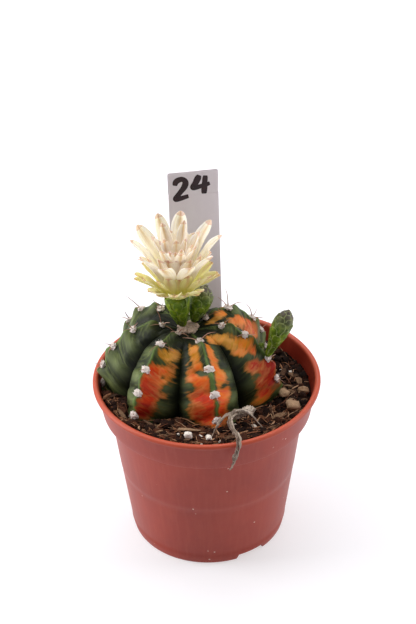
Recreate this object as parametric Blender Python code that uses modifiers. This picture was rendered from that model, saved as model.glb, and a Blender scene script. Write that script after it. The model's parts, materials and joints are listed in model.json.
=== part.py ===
"""Potted round cactus: a ribbed globe in a thin nursery pot of soil, with one open flower,
three buds, a withered flower and a plain stick label.

Metres, +Z up. The origin is on the ground under the middle of the pot, and -Y is the front.
"""

from math import atan2, cos, exp, hypot, pi, radians, sin, sqrt

import bmesh
import bpy
from mathutils import Matrix, Vector, noise

# ---- pot ----
rim_radius = 0.0425
pot_height = 0.0677
foot_radius = 0.0295
wall = 0.0009
lip_height = 0.01265
lip_taper = 0.0019
rim_bead = 0.0013
ledge = 0.0027
floor_height = 0.0033
foot_edge = 0.0012
notch_height = 0.0027
notch_angle = radians(28)
notch_slant = radians(3.5)
first_notch = radians(-57)
drain_radius = 0.0025
drain_ring = 0.0175
drain_count = 6
turn_steps = 72

# ---- what touches keeps this much room ----
gap = 0.0003

# ---- soil ----
headroom = 0.0075
front_heap = 0.0048
heap_azimuth = radians(248)
heap_start = 0.008
heap_end = 0.027
soil_roughness = 0.0007
soil_grain = 0.006

# ---- cactus body ----
body_radius = 0.0337
body_x = -0.0064
body_y = 0.0040
body_height = 0.0307
body_below = 0.0150
equator_above_rim = -0.0051
crown_dip = 0.0073
crown_dip_width = 0.35
roundness = 0.95
rib_azimuths = [radians(a) for a in (32.8, 85.5, 138.2, 184.1, 234.0, 287.5, 345.5)]
rib_flat_share = 0.16
rib_deep_share = 0.11
rim_bulge = 0.0060
soft_press = 0.0023
steps_per_rib = 10
body_rings = 24

# ---- plant label ----
label_width = 0.0190
label_length = 0.0922
label_depth = 0.0200
label_thickness = 0.0008
label_taper = 0.0320
label_tip_width = 0.0016
label_x = -0.0029
label_wall_gap = 0.0054
label_tip_gap = 0.0010
label_turn = radians(12)
label_lean_left = radians(-0.1)

# ---- open flower ----
tube_length = 0.0138
tube_base_radius = 0.0013
tube_top_radius = 0.0044
tube_x = -0.0020
tube_y = 0.0010
tube_lean = radians(-7.5)
tube_lean_back = radians(3.5)
style_radius = 0.0005
style_length = 0.0150
stigma_radius = 0.0010
stamen_height = 0.0125
stamen_top_radius = 0.0028
stamen_sheet = 0.0008
tepal_thickness = 0.0004

# ---- buds ----
crown_bud_x = 0.0019
crown_bud_y = 0.0030
side_bud_rib = 6
side_bud_polar = radians(61)
nub_polar = radians(52)

# ---- withered flower, lying from the body over the rim ----
remnant_azimuth = radians(-75)

scene_collection = bpy.context.scene.collection


def clear_scene():
    for item in list(bpy.data.objects):
        bpy.data.objects.remove(item, do_unlink=True)


clear_scene()
parts = bpy.data.collections.new("potted_round_cactus")
cutters = bpy.data.collections.new("cutters")
scene_collection.children.link(parts)
scene_collection.children.link(cutters)


def material(name, colour, roughness, metallic=0.0):
    """A Principled material with one colour."""
    made = bpy.data.materials.new(name)
    made.use_nodes = True
    made.diffuse_color = (*colour, 1.0)
    shader = made.node_tree.nodes["Principled BSDF"]
    shader.inputs["Base Color"].default_value = (*colour, 1.0)
    shader.inputs["Roughness"].default_value = roughness
    shader.inputs["Metallic"].default_value = metallic
    return made


terracotta_plastic = material("terracotta_plastic", (0.30, 0.065, 0.045), 0.45)
dark_soil = material("dark_soil", (0.045, 0.028, 0.020), 0.95)
cactus_skin = material("cactus_skin", (0.060, 0.110, 0.045), 0.50)
label_plastic = material("label_plastic", (0.46, 0.43, 0.45), 0.45)
green_flesh = material("green_flesh", (0.13, 0.26, 0.03), 0.45)
cream_tepal = material("cream_tepal", (0.85, 0.80, 0.58), 0.55)
green_tepal = material("green_tepal", (0.62, 0.64, 0.24), 0.55)
pollen_yellow = material("pollen_yellow", (0.80, 0.58, 0.12), 0.80)
dry_flower = material("dry_flower", (0.33, 0.26, 0.23), 0.90)
pale_grit = material("pale_grit", (0.72, 0.68, 0.62), 0.85)
tan_grit = material("tan_grit", (0.45, 0.31, 0.19), 0.85)


def smooth(mesh, angle=radians(35)):
    mesh.shade_smooth()
    mesh.set_sharp_from_angle(angle=angle)


def add_mesh_object(name, mesh, finish, collection=parts):
    made = bpy.data.objects.new(name, mesh)
    if finish:
        mesh.materials.append(finish)
    collection.objects.link(made)
    if collection is cutters:
        made.display_type = "WIRE"
        made.hide_render = True
    return made


def object_from_bmesh(name, built, finish, collection=parts):
    mesh = bpy.data.meshes.new(name)
    built.to_mesh(mesh)
    built.free()
    smooth(mesh)
    return add_mesh_object(name, mesh, finish, collection)


def turned(name, profile, finish, steps, closed=False, collection=parts):
    """A profile of (radius, height) points turned about Z; it runs down its outer side."""
    mesh = bpy.data.meshes.new(name)
    edges = [(i, i + 1) for i in range(len(profile) - 1)]
    if closed:
        edges.append((len(profile) - 1, 0))
    mesh.from_pydata([(radius, 0, height) for radius, height in profile], edges, [])
    made = add_mesh_object(name, mesh, finish, collection)
    screw = made.modifiers.new("turn", "SCREW")
    screw.steps = steps
    screw.render_steps = steps
    screw.use_merge_vertices = True
    screw.merge_threshold = 0.00001
    screw.use_smooth_shade = True
    return made


def evaluated_mesh(source):
    """The object's mesh as its modifiers leave it, welded."""
    bpy.context.view_layer.update()
    graph = bpy.context.evaluated_depsgraph_get()
    mesh = bpy.data.meshes.new_from_object(source.evaluated_get(graph))
    built = bmesh.new()
    built.from_mesh(mesh)
    bmesh.ops.remove_doubles(built, verts=built.verts, dist=0.000001)
    built.to_mesh(mesh)
    built.free()
    return mesh


def cut(target, cutter):
    boolean = target.modifiers.new("cut_" + cutter.name, "BOOLEAN")
    boolean.operation = "DIFFERENCE"
    boolean.solver = "EXACT"
    boolean.object = cutter


def arc(centre, radius, start, end, count):
    """Points on a circle in the profile's plane."""
    points = []
    for step in range(count + 1):
        angle = radians(start + (end - start) * step / count)
        points.append((centre[0] + radius * cos(angle), centre[1] + radius * sin(angle)))
    return points


def blend(low, high, share):
    return low + (high - low) * share


def ease(share):
    share = min(max(share, 0.0), 1.0)
    return share * share * (3 - 2 * share)


# ---- pot ----
lip_top_radius = rim_radius - rim_bead
lip_bottom_radius = lip_top_radius - lip_taper
shoulder_radius = lip_bottom_radius - ledge
ledge_height = pot_height - lip_height
floor_top = floor_height + wall


def wall_outer(height):
    """Outer radius of the pot at a height, without the rim's bead."""
    if height < ledge_height:
        return blend(foot_radius, shoulder_radius, height / ledge_height)
    return blend(lip_bottom_radius, lip_top_radius, (height - ledge_height) / lip_height)


def wall_inner(height):
    """Inner radius of the pot; the step inside is one wall above the ledge outside."""
    if height < ledge_height + wall:
        return blend(foot_radius, shoulder_radius, min(height / ledge_height, 1.0)) - wall
    return wall_outer(height) - wall


def pot_profile():
    bead = (rim_bead + wall) / 2
    bead_centre = (rim_radius - bead, pot_height - bead)
    step_height = ledge_height + wall
    points = [(0, floor_top)]
    points += [(wall_inner(floor_top) - foot_edge, floor_top)]
    points += [(wall_inner(floor_top + foot_edge), floor_top + foot_edge)]
    points += [(shoulder_radius - wall, step_height - wall / 2)]
    points += [(shoulder_radius - wall / 2, step_height)]
    points += [(wall_inner(step_height + wall / 2), step_height + wall / 2)]
    points += arc(bead_centre, bead, 180, 0, 6)
    points += [(rim_radius, pot_height - 1.9 * bead)]
    points += [(wall_outer(pot_height - 2.4 * bead), pot_height - 2.4 * bead)]
    points += [(lip_bottom_radius, ledge_height + wall / 2)]
    points += [(lip_bottom_radius - wall / 2, ledge_height)]
    points += [(shoulder_radius, ledge_height - wall / 4)]
    points += [(wall_outer(foot_edge), foot_edge)]
    points += [(foot_radius - foot_edge, 0)]
    points += [(foot_radius - foot_edge - wall, 0)]
    points += [(wall_outer(floor_height) - foot_edge - wall, floor_height)]
    points += [(0, floor_height)]
    return points


def notch_cutter(index):
    """A block whose ends lean in towards the top, across the foot ring."""
    built = bmesh.new()
    bmesh.ops.create_cube(built, size=1)
    middle = first_notch + index * 2 * pi / 3
    for corner in built.verts:
        raised = corner.co.z > 0
        angle = middle + corner.co.y * 2 * (notch_angle / 2 - notch_slant * raised)
        reach = foot_radius * (1.4 if corner.co.x > 0 else 0.75)
        corner.co = (reach * cos(angle), reach * sin(angle), notch_height if raised else -foot_edge)
    return object_from_bmesh(f"notch_cutter_{index + 1}", built, None, cutters)


def drain_cutter(index):
    built = bmesh.new()
    bmesh.ops.create_cone(
        built, cap_ends=True, segments=12, radius1=drain_radius, radius2=drain_radius, depth=4 * wall
    )
    angle = first_notch + index * 2 * pi / drain_count
    place = Vector((drain_ring * cos(angle), drain_ring * sin(angle), floor_height + wall / 2))
    bmesh.ops.translate(built, verts=built.verts, vec=place)
    return object_from_bmesh(f"drain_cutter_{index + 1}", built, None, cutters)


def make_pot():
    pot = turned("pot", pot_profile(), terracotta_plastic, turn_steps)
    for index in range(3):
        cut(pot, notch_cutter(index))
    for index in range(drain_count):
        cut(pot, drain_cutter(index))


# ---- cactus body ----
equator = pot_height + equator_above_rim


def soil_height(x, y):
    """The soil stands higher in front, where it is heaped against the plant."""
    forward = x * cos(heap_azimuth) + y * sin(heap_azimuth)
    heap = front_heap * ease((forward - heap_start) / (heap_end - heap_start))
    rough = soil_roughness * noise.noise(Vector((x, y, 0)) / soil_grain)
    return pot_height - headroom + heap + rough


def label_place():
    """Where the label's middle passes through the soil."""
    return Vector((label_x, wall_inner(pot_height - headroom) - label_wall_gap, pot_height - headroom))


def wall_reach(azimuth):
    """How far a rib can grow from the body's axis before it meets the pot's wall."""
    along = body_x * cos(azimuth) + body_y * sin(azimuth)
    offset_squared = body_x**2 + body_y**2
    return sqrt((wall_inner(equator) - 2 * gap) ** 2 - offset_squared + along**2) - along


def label_reach(azimuth):
    """How far a rib can grow before it meets the label."""
    if abs(azimuth - pi / 2) > label_width / body_radius:
        return body_radius
    return (label_place().y - label_thickness - gap - body_y) / sin(azimuth)


def rib_reach(index, height):
    """A rib that is pressed by the pot's wall bulges out again over the rim.

    Pressed further in than soft_press, it starts to bulge higher up.
    """
    azimuth = rib_azimuths[index % len(rib_azimuths)]
    free = min(body_radius, label_reach(azimuth))
    pressed = min(free, wall_reach(azimuth))
    start = pot_height - rim_bulge / 2 + max(free - pressed - soft_press, 0)
    return blend(pressed, free, ease((height - start) / rim_bulge))


def body_point(rib, share, polar, grow=0.0):
    """A point of the skin, a share of the way from a rib's crest to the next, from the top down."""
    count = len(rib_azimuths)
    start = rib_azimuths[rib % count]
    turn = (rib_azimuths[(rib + 1) % count] - start) % (2 * pi)
    azimuth = start + turn * share
    into_groove = 1 - abs(2 * share - 1)
    half_height = body_height if polar < pi / 2 else body_below
    height = equator + half_height * cos(polar)
    reach = blend(rib_reach(rib, height), rib_reach(rib + 1, height), ease(share)) + grow
    hollow = rib_flat_share * into_groove + rib_deep_share * into_groove**3
    radius = reach * max(sin(polar), 0.0) ** roundness * (1 - hollow)
    dip = crown_dip * exp(-((radius / (crown_dip_width * body_radius)) ** 2)) if polar < pi / 2 else 0
    height += grow * cos(polar) - dip
    return Vector((body_x + radius * cos(azimuth), body_y + radius * sin(azimuth), height))


def body_bmesh(grow=0.0):
    count = len(rib_azimuths) * steps_per_rib
    built = bmesh.new()
    bmesh.ops.create_uvsphere(built, u_segments=count, v_segments=body_rings, radius=1)
    for point in built.verts:
        across = hypot(point.co.x, point.co.y)
        polar = atan2(across, point.co.z)
        turn_from_front = atan2(point.co.y, point.co.x) + pi / 2
        step = round(turn_from_front / (2 * pi) * count) % count
        rib, share = step // steps_per_rib, step % steps_per_rib / steps_per_rib
        point.co = body_point(rib, share, polar, grow)
    return built


def skin_height(x, y):
    """Height of the body's top under a place near its crown."""
    azimuth = atan2(y - body_y, x - body_x) % (2 * pi)
    rib = max((i for i, a in enumerate(rib_azimuths) if a <= azimuth), default=-1)
    start = rib_azimuths[rib % len(rib_azimuths)]
    turn = (rib_azimuths[(rib + 1) % len(rib_azimuths)] - start) % (2 * pi)
    share = (azimuth - start) % (2 * pi) / turn
    distance = hypot(x - body_x, y - body_y)
    low, high = 0.0, pi / 2
    for _ in range(30):
        middle = (low + high) / 2
        found = body_point(rib, share, middle)
        if hypot(found.x - body_x, found.y - body_y) < distance:
            low = middle
        else:
            high = middle
    return body_point(rib, share, low).z


def skin_distance(azimuth):
    """How far the body reaches from the pot's axis, at its widest, near one direction."""
    reached = []
    for rib in range(len(rib_azimuths)):
        for step in range(steps_per_rib):
            point = body_point(rib, step / steps_per_rib, pi / 2)
            turned_off = (atan2(point.y, point.x) - azimuth + pi) % (2 * pi) - pi
            if abs(turned_off) < radians(8):
                reached.append(hypot(point.x, point.y))
    return max(reached)


def make_body():
    object_from_bmesh("cactus_body", body_bmesh(), cactus_skin)


# ---- label ----
def label_matrix():
    """Puts the label upright behind the plant, its tip inside the pot's wall."""
    place = label_place()
    tip_height = place.z - label_depth
    tip_y = wall_inner(tip_height) - label_tip_gap - label_thickness
    lean_back = atan2(place.y - tip_y, label_depth)
    turn = Matrix.Rotation(label_turn, 4, "Z")
    lean = Matrix.Rotation(-lean_back, 4, "X")
    upright = Matrix.Rotation(pi / 2, 4, "X")
    return Matrix.Translation(place) @ turn @ lean @ Matrix.Rotation(-label_lean_left, 4, "Y") @ upright


def label_curve(name, grow=0.0):
    """The label's flat outline, as wide above as below until it narrows to its tip."""
    half = label_width / 2 + grow
    tip = label_tip_width / 2 + grow
    top = label_length - label_depth + grow
    shoulder = label_taper - label_depth
    corner = 0.0006
    outline = [(tip, -label_depth - grow), (half, shoulder), (half, top - corner)]
    outline += [(half - corner, top), (corner - half, top), (-half, top - corner)]
    outline += [(-half, shoulder), (-tip, -label_depth - grow)]
    curve = bpy.data.curves.new(name, "CURVE")
    curve.dimensions = "2D"
    curve.fill_mode = "BOTH"
    curve.extrude = label_thickness / 2 + grow
    spline = curve.splines.new("POLY")
    spline.points.add(len(outline) - 1)
    for point, (x, y) in zip(spline.points, outline):
        point.co = (x, y, 0, 1)
    spline.use_cyclic_u = True
    return curve


def make_label():
    curve = label_curve("plant_label")
    curve.materials.append(label_plastic)
    label = bpy.data.objects.new("plant_label", curve)
    label.matrix_world = label_matrix()
    parts.objects.link(label)


def label_cutter():
    outline = bpy.data.objects.new("label_outline", label_curve("label_slot", gap))
    cutters.objects.link(outline)
    mesh = evaluated_mesh(outline)
    bpy.data.objects.remove(outline)
    cutter = add_mesh_object("label_cutter", mesh, None, cutters)
    cutter.matrix_world = label_matrix()
    return cutter


# ---- soil ----
def make_soil():
    level = pot_height - headroom
    step_height = ledge_height + wall
    bottom = floor_top + gap
    corner = foot_edge + gap
    profile = [(0, level)]
    for share in (0.3, 0.5, 0.65, 0.8, 0.9):
        profile.append((share * wall_inner(level), level))
    profile.append((wall_inner(level) - gap, level))
    profile.append((wall_inner(step_height + wall) - gap, step_height + wall))
    profile.append((shoulder_radius - wall - gap, step_height + wall / 2))
    profile.append((wall_inner(bottom + corner) - gap, bottom + corner))
    profile.append((wall_inner(bottom) - corner - gap, bottom))
    profile.append((0, bottom))
    turned_soil = turned("soil_blank", profile, None, turn_steps, collection=cutters)
    mesh = evaluated_mesh(turned_soil)
    bpy.data.objects.remove(turned_soil)
    for point in mesh.vertices:
        if abs(point.co.z - level) < 0.000001:
            point.co.z = soil_height(point.co.x, point.co.y)
    mesh.name = "soil"
    soil = add_mesh_object("soil", mesh, dark_soil)
    smooth(mesh)
    cut(soil, object_from_bmesh("body_cutter", body_bmesh(4 * gap), None, cutters))
    cut(soil, label_cutter())


# ---- flower ----
def flower_base():
    x, y = body_x + tube_x, body_y + tube_y
    ring = [(x + tube_base_radius * cos(a), y + tube_base_radius * sin(a)) for a in (0, 1.5, 3, 4.5)]
    return Vector((x, y, max(skin_height(*place) for place in ring) + 2 * gap))


def flower_matrix():
    lean = Matrix.Rotation(tube_lean, 4, "Y") @ Matrix.Rotation(tube_lean_back, 4, "X")
    return Matrix.Translation(flower_base()) @ lean


def flower_mouth():
    """Where the style, the stamens and the tepals stand, just clear of the leaning tube."""
    return flower_matrix() @ Vector((0, 0, tube_length)) + Vector((0, 0, 2 * gap))


def make_flower_tube():
    profile = [(0, tube_length), (tube_top_radius * 0.85, tube_length)]
    profile.append((tube_top_radius, tube_length - 0.0004))
    for share in (0.8, 0.55, 0.3, 0.1):
        swell = tube_base_radius + (tube_top_radius - tube_base_radius) * share**0.8
        profile.append((swell, tube_length * share))
    profile += [(tube_base_radius, 0), (0, 0)]
    tube = turned("flower_tube", profile, green_flesh, 20)
    tube.matrix_world = flower_matrix()


def make_style():
    top = style_length - 0.0006
    profile = [(0, style_length), (stigma_radius * 0.7, style_length), (stigma_radius, top)]
    profile += [(stigma_radius * 0.7, top - 0.0009), (style_radius, top - 0.0015), (style_radius, 0), (0, 0)]
    style = turned("style", profile, cream_tepal, 10)
    style.location = flower_mouth()


def make_stamens():
    """A funnel of filaments round the style, drawn as one thin sheet with a ruffled edge."""
    inner = style_radius + gap
    profile = [(stamen_top_radius - stamen_sheet, stamen_height), (stamen_top_radius, stamen_height)]
    profile += [(stamen_top_radius * 0.72, stamen_height * 0.5), (inner + stamen_sheet, 0), (inner, 0)]
    profile.append((stamen_top_radius * 0.72 - stamen_sheet, stamen_height * 0.5))
    stamens = turned("stamens", profile, pollen_yellow, 20, closed=True)
    stamens.location = flower_mouth()


# Each whorl of tepals: azimuths in degrees from +X, the tilt above level at its base and its tip,
# the ring that its bases stand on, their length and width, and how much longer those behind are.
whorls = {
    "tepal_inner": {
        "azimuths": (22, 74, 126, 178, 230, 280, 330),
        "base_tilt": 80, "tip_tilt": 66, "ring": 0.0022, "lift": 0.0009,
        "length": 0.0245, "longer_behind": 0.0020, "base_width": 0.0008, "width": 0.0038,
        "finish": cream_tepal,
    },
    "tepal_middle": {
        "azimuths": (10, 46, 82, 115, 147, 179, 212, 250, 288, 328),
        "base_tilt": 72, "tip_tilt": 42, "ring": 0.0031, "lift": 0.0006,
        "length": 0.0275, "longer_behind": 0.0030, "base_width": 0.0009, "width": 0.0050,
        "finish": cream_tepal,
    },
    "tepal_outer": {
        "azimuths": (355, 40, 95, 145, 192, 228, 265, 308),
        "base_tilt": 42, "tip_tilt": 30, "ring": 0.0041, "lift": 0.0006,
        "length": 0.0145, "longer_behind": 0.0, "base_width": 0.0018, "width": 0.0042,
        "finish": green_tepal,
    },
}
tepal_rows = 8


def tepal_mesh(whorl, azimuth):
    """A strap that widens from its base, bends outwards and ends in a point."""
    length = whorl["length"] + whorl["longer_behind"] * sin(azimuth)
    built = bmesh.new()
    bmesh.ops.create_grid(built, x_segments=2, y_segments=tepal_rows, size=1)
    outward = Vector((cos(azimuth), sin(azimuth), 0))
    across = Vector((-sin(azimuth), cos(azimuth), 0))
    centres = [outward * whorl["ring"] + Vector((0, 0, whorl["lift"]))]
    for row in range(tepal_rows):
        tilt = radians(blend(whorl["base_tilt"], whorl["tip_tilt"], ease((row + 0.5) / tepal_rows)))
        centres.append(centres[-1] + (outward * cos(tilt) + Vector((0, 0, sin(tilt)))) * length / tepal_rows)
    for point in built.verts:
        side, share = point.co.x, (point.co.y + 1) / 2
        row = round(share * tepal_rows)
        grown = blend(whorl["base_width"], whorl["width"], ease(share / 0.62))
        narrowed = grown * sqrt(max(1 - max((share - 0.62) / 0.40, 0.0) ** 2, 0.0))
        cup = abs(side) * narrowed * 0.16
        point.co = centres[row] + across * side * narrowed / 2 + Vector((0, 0, cup))
    return built


def make_tepals():
    mouth = flower_mouth()
    for name, whorl in whorls.items():
        for index, angle in enumerate(whorl["azimuths"]):
            azimuth = radians(angle)
            tepal = object_from_bmesh(f"{name}_{index + 1}", tepal_mesh(whorl, azimuth), whorl["finish"])
            tepal.location = mouth
            solid = tepal.modifiers.new("thickness", "SOLIDIFY")
            solid.thickness = tepal_thickness
            solid.offset = 0


# ---- buds ----
def bud_profile(length, base_radius, widest, tiers):
    """A spindle in tiers, each a ring of scales that stands out over the next below."""
    points = [(0, length), (widest * 0.28, length * 0.985)]
    for tier in range(tiers):
        top = 1 - (tier + 0.25) / tiers
        low = 1 - (tier + 0.85) / tiers
        for share, flare in ((top, 1.0), (low, 1.07)):
            body = sin(pi * (0.12 + 0.82 * (1 - share) ** 0.85)) ** 0.75
            points.append((blend(base_radius, widest, body * share**0.35) * flare, length * max(share, 0.04)))
    points += [(base_radius, 0), (0, 0)]
    return points


def make_bud(name, base, tip, base_radius, widest, tiers):
    axis = tip - base
    bud = turned(name, bud_profile(axis.length, base_radius, widest, tiers), green_flesh, 16)
    bud.matrix_world = Matrix.Translation(base) @ axis.to_track_quat("Z", "Y").to_matrix().to_4x4()


def make_buds():
    x, y = body_x + crown_bud_x, body_y + crown_bud_y
    base = Vector((x, y, skin_height(x, y) + 3 * gap))
    make_bud("bud_crown", base, base + Vector((0.0048, 0.0042, 0.0130)), 0.0011, 0.0045, 5)
    crest = body_point(side_bud_rib, 0, side_bud_polar)
    outward = Vector((cos(rib_azimuths[side_bud_rib]), sin(rib_azimuths[side_bud_rib]), 0))
    base = crest + outward * 0.0002 + Vector((0, 0, 4 * gap))
    make_bud("bud_side", base, base + Vector((0.0080, 0.0012, 0.0190)), 0.0013, 0.0039, 6)
    crest = body_point(side_bud_rib, 0, nub_polar)
    base = crest + outward * gap + Vector((0, 0, 2 * gap))
    make_bud("bud_nub", base, base + (outward * 0.5 + Vector((0, 0, 1))) * 0.0020, 0.0005, 0.0009, 2)


# ---- withered flower ----
def make_withered_flower():
    """A dry flower at the foot of the body, whose tail goes over the rim and hangs outside."""
    rim_azimuth = remnant_azimuth
    out = Vector((cos(rim_azimuth), sin(rim_azimuth), 0))
    along = Vector((-sin(rim_azimuth), cos(rim_azimuth), 0))
    tail = 0.0008
    foot = skin_distance(rim_azimuth)
    level = soil_height(*(out * foot + along * 0.005).xy)
    over = pot_height + gap + 1.5 * tail
    hang = rim_radius + gap + tail
    path = [
        (out * (foot - 0.0019) + along * 0.0085, level + 0.0042, 2.6),
        (out * (foot - 0.0004) + along * 0.0055, level + 0.0036, 2.9),
        (out * (foot + 0.0001) + along * 0.0010, level + 0.0032, 2.3),
        (out * (foot + 0.0031) + along * -0.0004, level + 0.0040, 1.5),
        (out * (rim_radius - 0.0065), over - 0.0002, 1.0),
        (out * (rim_radius - 0.0015), over + 0.0006, 0.95),
        (out * (hang + 0.0002) + along * -0.0006, over - 0.0016, 0.9),
        (out * hang + along * -0.0020, pot_height - 0.0055, 0.9),
        (out * hang + along * -0.0030, pot_height - 0.0098, 0.35),
    ]
    curve = bpy.data.curves.new("withered_flower", "CURVE")
    curve.dimensions = "3D"
    curve.bevel_depth = tail
    curve.bevel_resolution = 2
    curve.use_fill_caps = True
    curve.resolution_u = 3
    spline = curve.splines.new("NURBS")
    spline.points.add(len(path) - 1)
    spline.order_u = 3
    spline.use_endpoint_u = True
    for point, (place, height, thick) in zip(spline.points, path):
        point.co = (place.x, place.y, height, 1)
        point.radius = thick
    curve.materials.append(dry_flower)
    parts.objects.link(bpy.data.objects.new("withered_flower", curve))


# ---- grit on the soil: azimuth, then its place and its size as shares of the room between the
# body and the wall there, its flatness and its finish ----
grit = [
    (259, 0.649, 0.251, 0.80, pale_grit),
    (271, 0.685, 0.241, 0.80, pale_grit),
    (356, 0.761, 0.350, 0.60, tan_grit),
    (339, 0.627, 0.402, 0.55, tan_grit),
    (352, 0.205, 0.366, 0.55, tan_grit),
]


def make_grit():
    for index, (angle, place, share, flat, finish) in enumerate(grit):
        azimuth = radians(angle)
        skin = skin_distance(azimuth)
        room = wall_inner(pot_height - headroom) - skin
        distance = skin + room * place
        size = room * share
        x, y = distance * cos(azimuth), distance * sin(azimuth)
        built = bmesh.new()
        bmesh.ops.create_icosphere(built, subdivisions=2, radius=size / 2)
        for point in built.verts:
            lump = 1 + 0.22 * noise.noise(point.co * 2.2 / size + Vector((index * 7.0, 0, 0)))
            point.co = Vector((point.co.x * 1.1, point.co.y * 0.85, point.co.z * flat)) * lump
        bmesh.ops.rotate(built, verts=built.verts, matrix=Matrix.Rotation(index * 1.3, 3, "Z"))
        ground = max(
            soil_height(x + size / 2 * cos(a), y + size / 2 * sin(a)) for a in (0, 1, 2, 3, 4, 5)
        )
        lowest = min(point.co.z for point in built.verts)
        stone = object_from_bmesh(f"grit_{index + 1}", built, finish)
        stone.location = (x, y, max(ground, soil_height(x, y)) + gap - lowest)


make_pot()
make_body()
make_label()
make_soil()
make_flower_tube()
make_style()
make_stamens()
make_tepals()
make_buds()
make_withered_flower()
make_grit()
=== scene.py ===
import json
from math import atan2, cos, exp, hypot, pi, radians, sin, sqrt
from random import Random

import bpy
from mathutils import Matrix, Vector, noise

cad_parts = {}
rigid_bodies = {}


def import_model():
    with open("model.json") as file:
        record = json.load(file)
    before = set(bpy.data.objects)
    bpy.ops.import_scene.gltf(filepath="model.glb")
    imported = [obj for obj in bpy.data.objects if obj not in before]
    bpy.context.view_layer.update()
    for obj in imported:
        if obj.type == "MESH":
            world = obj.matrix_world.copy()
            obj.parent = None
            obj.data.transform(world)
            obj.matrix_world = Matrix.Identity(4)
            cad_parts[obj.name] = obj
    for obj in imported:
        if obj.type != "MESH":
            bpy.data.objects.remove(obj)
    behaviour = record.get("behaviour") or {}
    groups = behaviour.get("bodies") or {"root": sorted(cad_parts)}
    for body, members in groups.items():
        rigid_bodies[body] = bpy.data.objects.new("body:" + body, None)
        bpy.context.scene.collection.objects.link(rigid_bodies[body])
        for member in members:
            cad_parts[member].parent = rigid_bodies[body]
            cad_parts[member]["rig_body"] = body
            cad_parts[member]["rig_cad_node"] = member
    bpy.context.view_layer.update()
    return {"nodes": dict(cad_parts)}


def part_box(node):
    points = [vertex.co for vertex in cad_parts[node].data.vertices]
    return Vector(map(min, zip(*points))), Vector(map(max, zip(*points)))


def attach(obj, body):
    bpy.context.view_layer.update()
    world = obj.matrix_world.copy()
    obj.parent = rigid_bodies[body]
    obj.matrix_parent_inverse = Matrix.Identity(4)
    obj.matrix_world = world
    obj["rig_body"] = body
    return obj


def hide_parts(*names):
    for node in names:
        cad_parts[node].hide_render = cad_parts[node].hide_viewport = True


# The looks of a potted round cactus in flower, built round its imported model.
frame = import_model()
bpy.ops.object.select_all(action="DESELECT")
mm = 0.001
up = Vector((0, 0, 1))
almostAxis = 0.0004  # a ring this small is closed on the axis


def linear(hexColour):
    channels = [int(hexColour[i:i + 2], 16) / 255 for i in (0, 2, 4)]
    return tuple(c / 12.92 if c <= 0.04045 else ((c + 0.055) / 1.055) ** 2.4 for c in channels) + (1.0,)


def mix(low, high, share):
    return low + (high - low) * share


def ease(share):
    share = min(max(share, 0.0), 1.0)
    return share * share * (3 - 2 * share)


# the way out from the middle at an azimuth, and the way round
def ways(azimuth):
    return Vector((cos(azimuth), sin(azimuth), 0)), Vector((-sin(azimuth), cos(azimuth), 0))


# fills a node: a socket takes a value, a hex colour or another node's output, "stops" fills a ramp,
# and the numbered inputs come as a list
def setNode(tree, node, inputs=(), **settings):
    for key, value in [*enumerate(inputs), *settings.items()]:
        socket = key if isinstance(key, int) else key.replace("_", " ")
        if key == "stops":
            stops = node.color_ramp.elements
            while len(stops) < len(value):
                stops.new(0.5)
            for stop, (place, colour) in zip(stops, value):
                stop.position = place
                stop.color = linear(colour) if isinstance(colour, str) else (colour, colour, colour, 1)
        elif isinstance(value, bpy.types.NodeSocket):
            tree.links.new(value, node.inputs[socket])
        elif isinstance(socket, int) or socket in node.inputs:
            node.inputs[socket].default_value = linear(value) if isinstance(value, str) else value
        else:
            setattr(node, key, value)
    return node


def addNode(tree, kind, inputs=(), output=0, **settings):
    return setNode(tree, tree.nodes.new("ShaderNode" + kind), inputs, **settings).outputs[output]


def newMaterial(name, **settings):
    made = bpy.data.materials.new(name)
    made.use_nodes = True
    shader = made.node_tree.nodes["Principled BSDF"]
    setNode(made.node_tree, shader, **settings)
    return made, made.node_tree, shader


# a natural stuff with grain of its own, paler where the tone of a grain is high
def grainyStuff(name, stops, grain, spread, bump, **settings):
    made, tree, shader = newMaterial(name, **settings)
    place = addNode(tree, "TexCoord", output="Object")
    tone = addNode(tree, "Attribute", output="Fac", attribute_name="tone")
    grains = addNode(tree, "TexNoise", Vector=place, **grain)
    centred = addNode(tree, "Math", (grains, spread, -spread / 2), operation="MULTIPLY_ADD")
    toned = addNode(tree, "Math", (centred, tone), operation="ADD")
    setNode(tree, shader, Base_Color=addNode(tree, "ValToRGB", stops=stops, Fac=toned))
    if bump:
        raised = addNode(tree, "Bump", Strength=bump[0], Distance=bump[1], Height=grains)
        setNode(tree, shader, Normal=raised)
    return made


def selectOnly(*pieces):
    bpy.ops.object.select_all(action="DESELECT")
    for piece in pieces:
        piece.select_set(True)
    bpy.context.view_layer.objects.active = pieces[0]


def applyModifier(piece, kind, **settings):
    selectOnly(piece)
    bpy.ops.object.modifier_add(type=kind)
    modifier = piece.modifiers[-1]
    for key, value in settings.items():
        setattr(modifier, key, value)
    bpy.ops.object.modifier_apply(modifier=modifier.name)


def softenEdges(piece, width, segments):
    applyModifier(piece, "BEVEL", width=width, segments=segments, limit_method="ANGLE",
                  angle_limit=radians(50))


def finishPiece(piece, name, finish, stands=(), smoothAngle=40):
    piece.name = name
    piece.data.name = name
    piece.data.materials.clear()
    piece.data.materials.append(finish)
    selectOnly(piece)
    bpy.ops.object.transform_apply(location=True, rotation=True, scale=True)
    bpy.ops.object.shade_smooth_by_angle(angle=radians(smoothAngle))
    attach(piece, "root")
    if stands:
        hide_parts(*stands)
    bpy.ops.object.select_all(action="DESELECT")
    return piece


def joinPieces(pieces):
    selectOnly(*pieces)
    bpy.ops.object.join()
    return bpy.context.object


def editAll():
    bpy.ops.object.mode_set(mode="EDIT")
    bpy.ops.mesh.select_all(action="SELECT")


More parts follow.
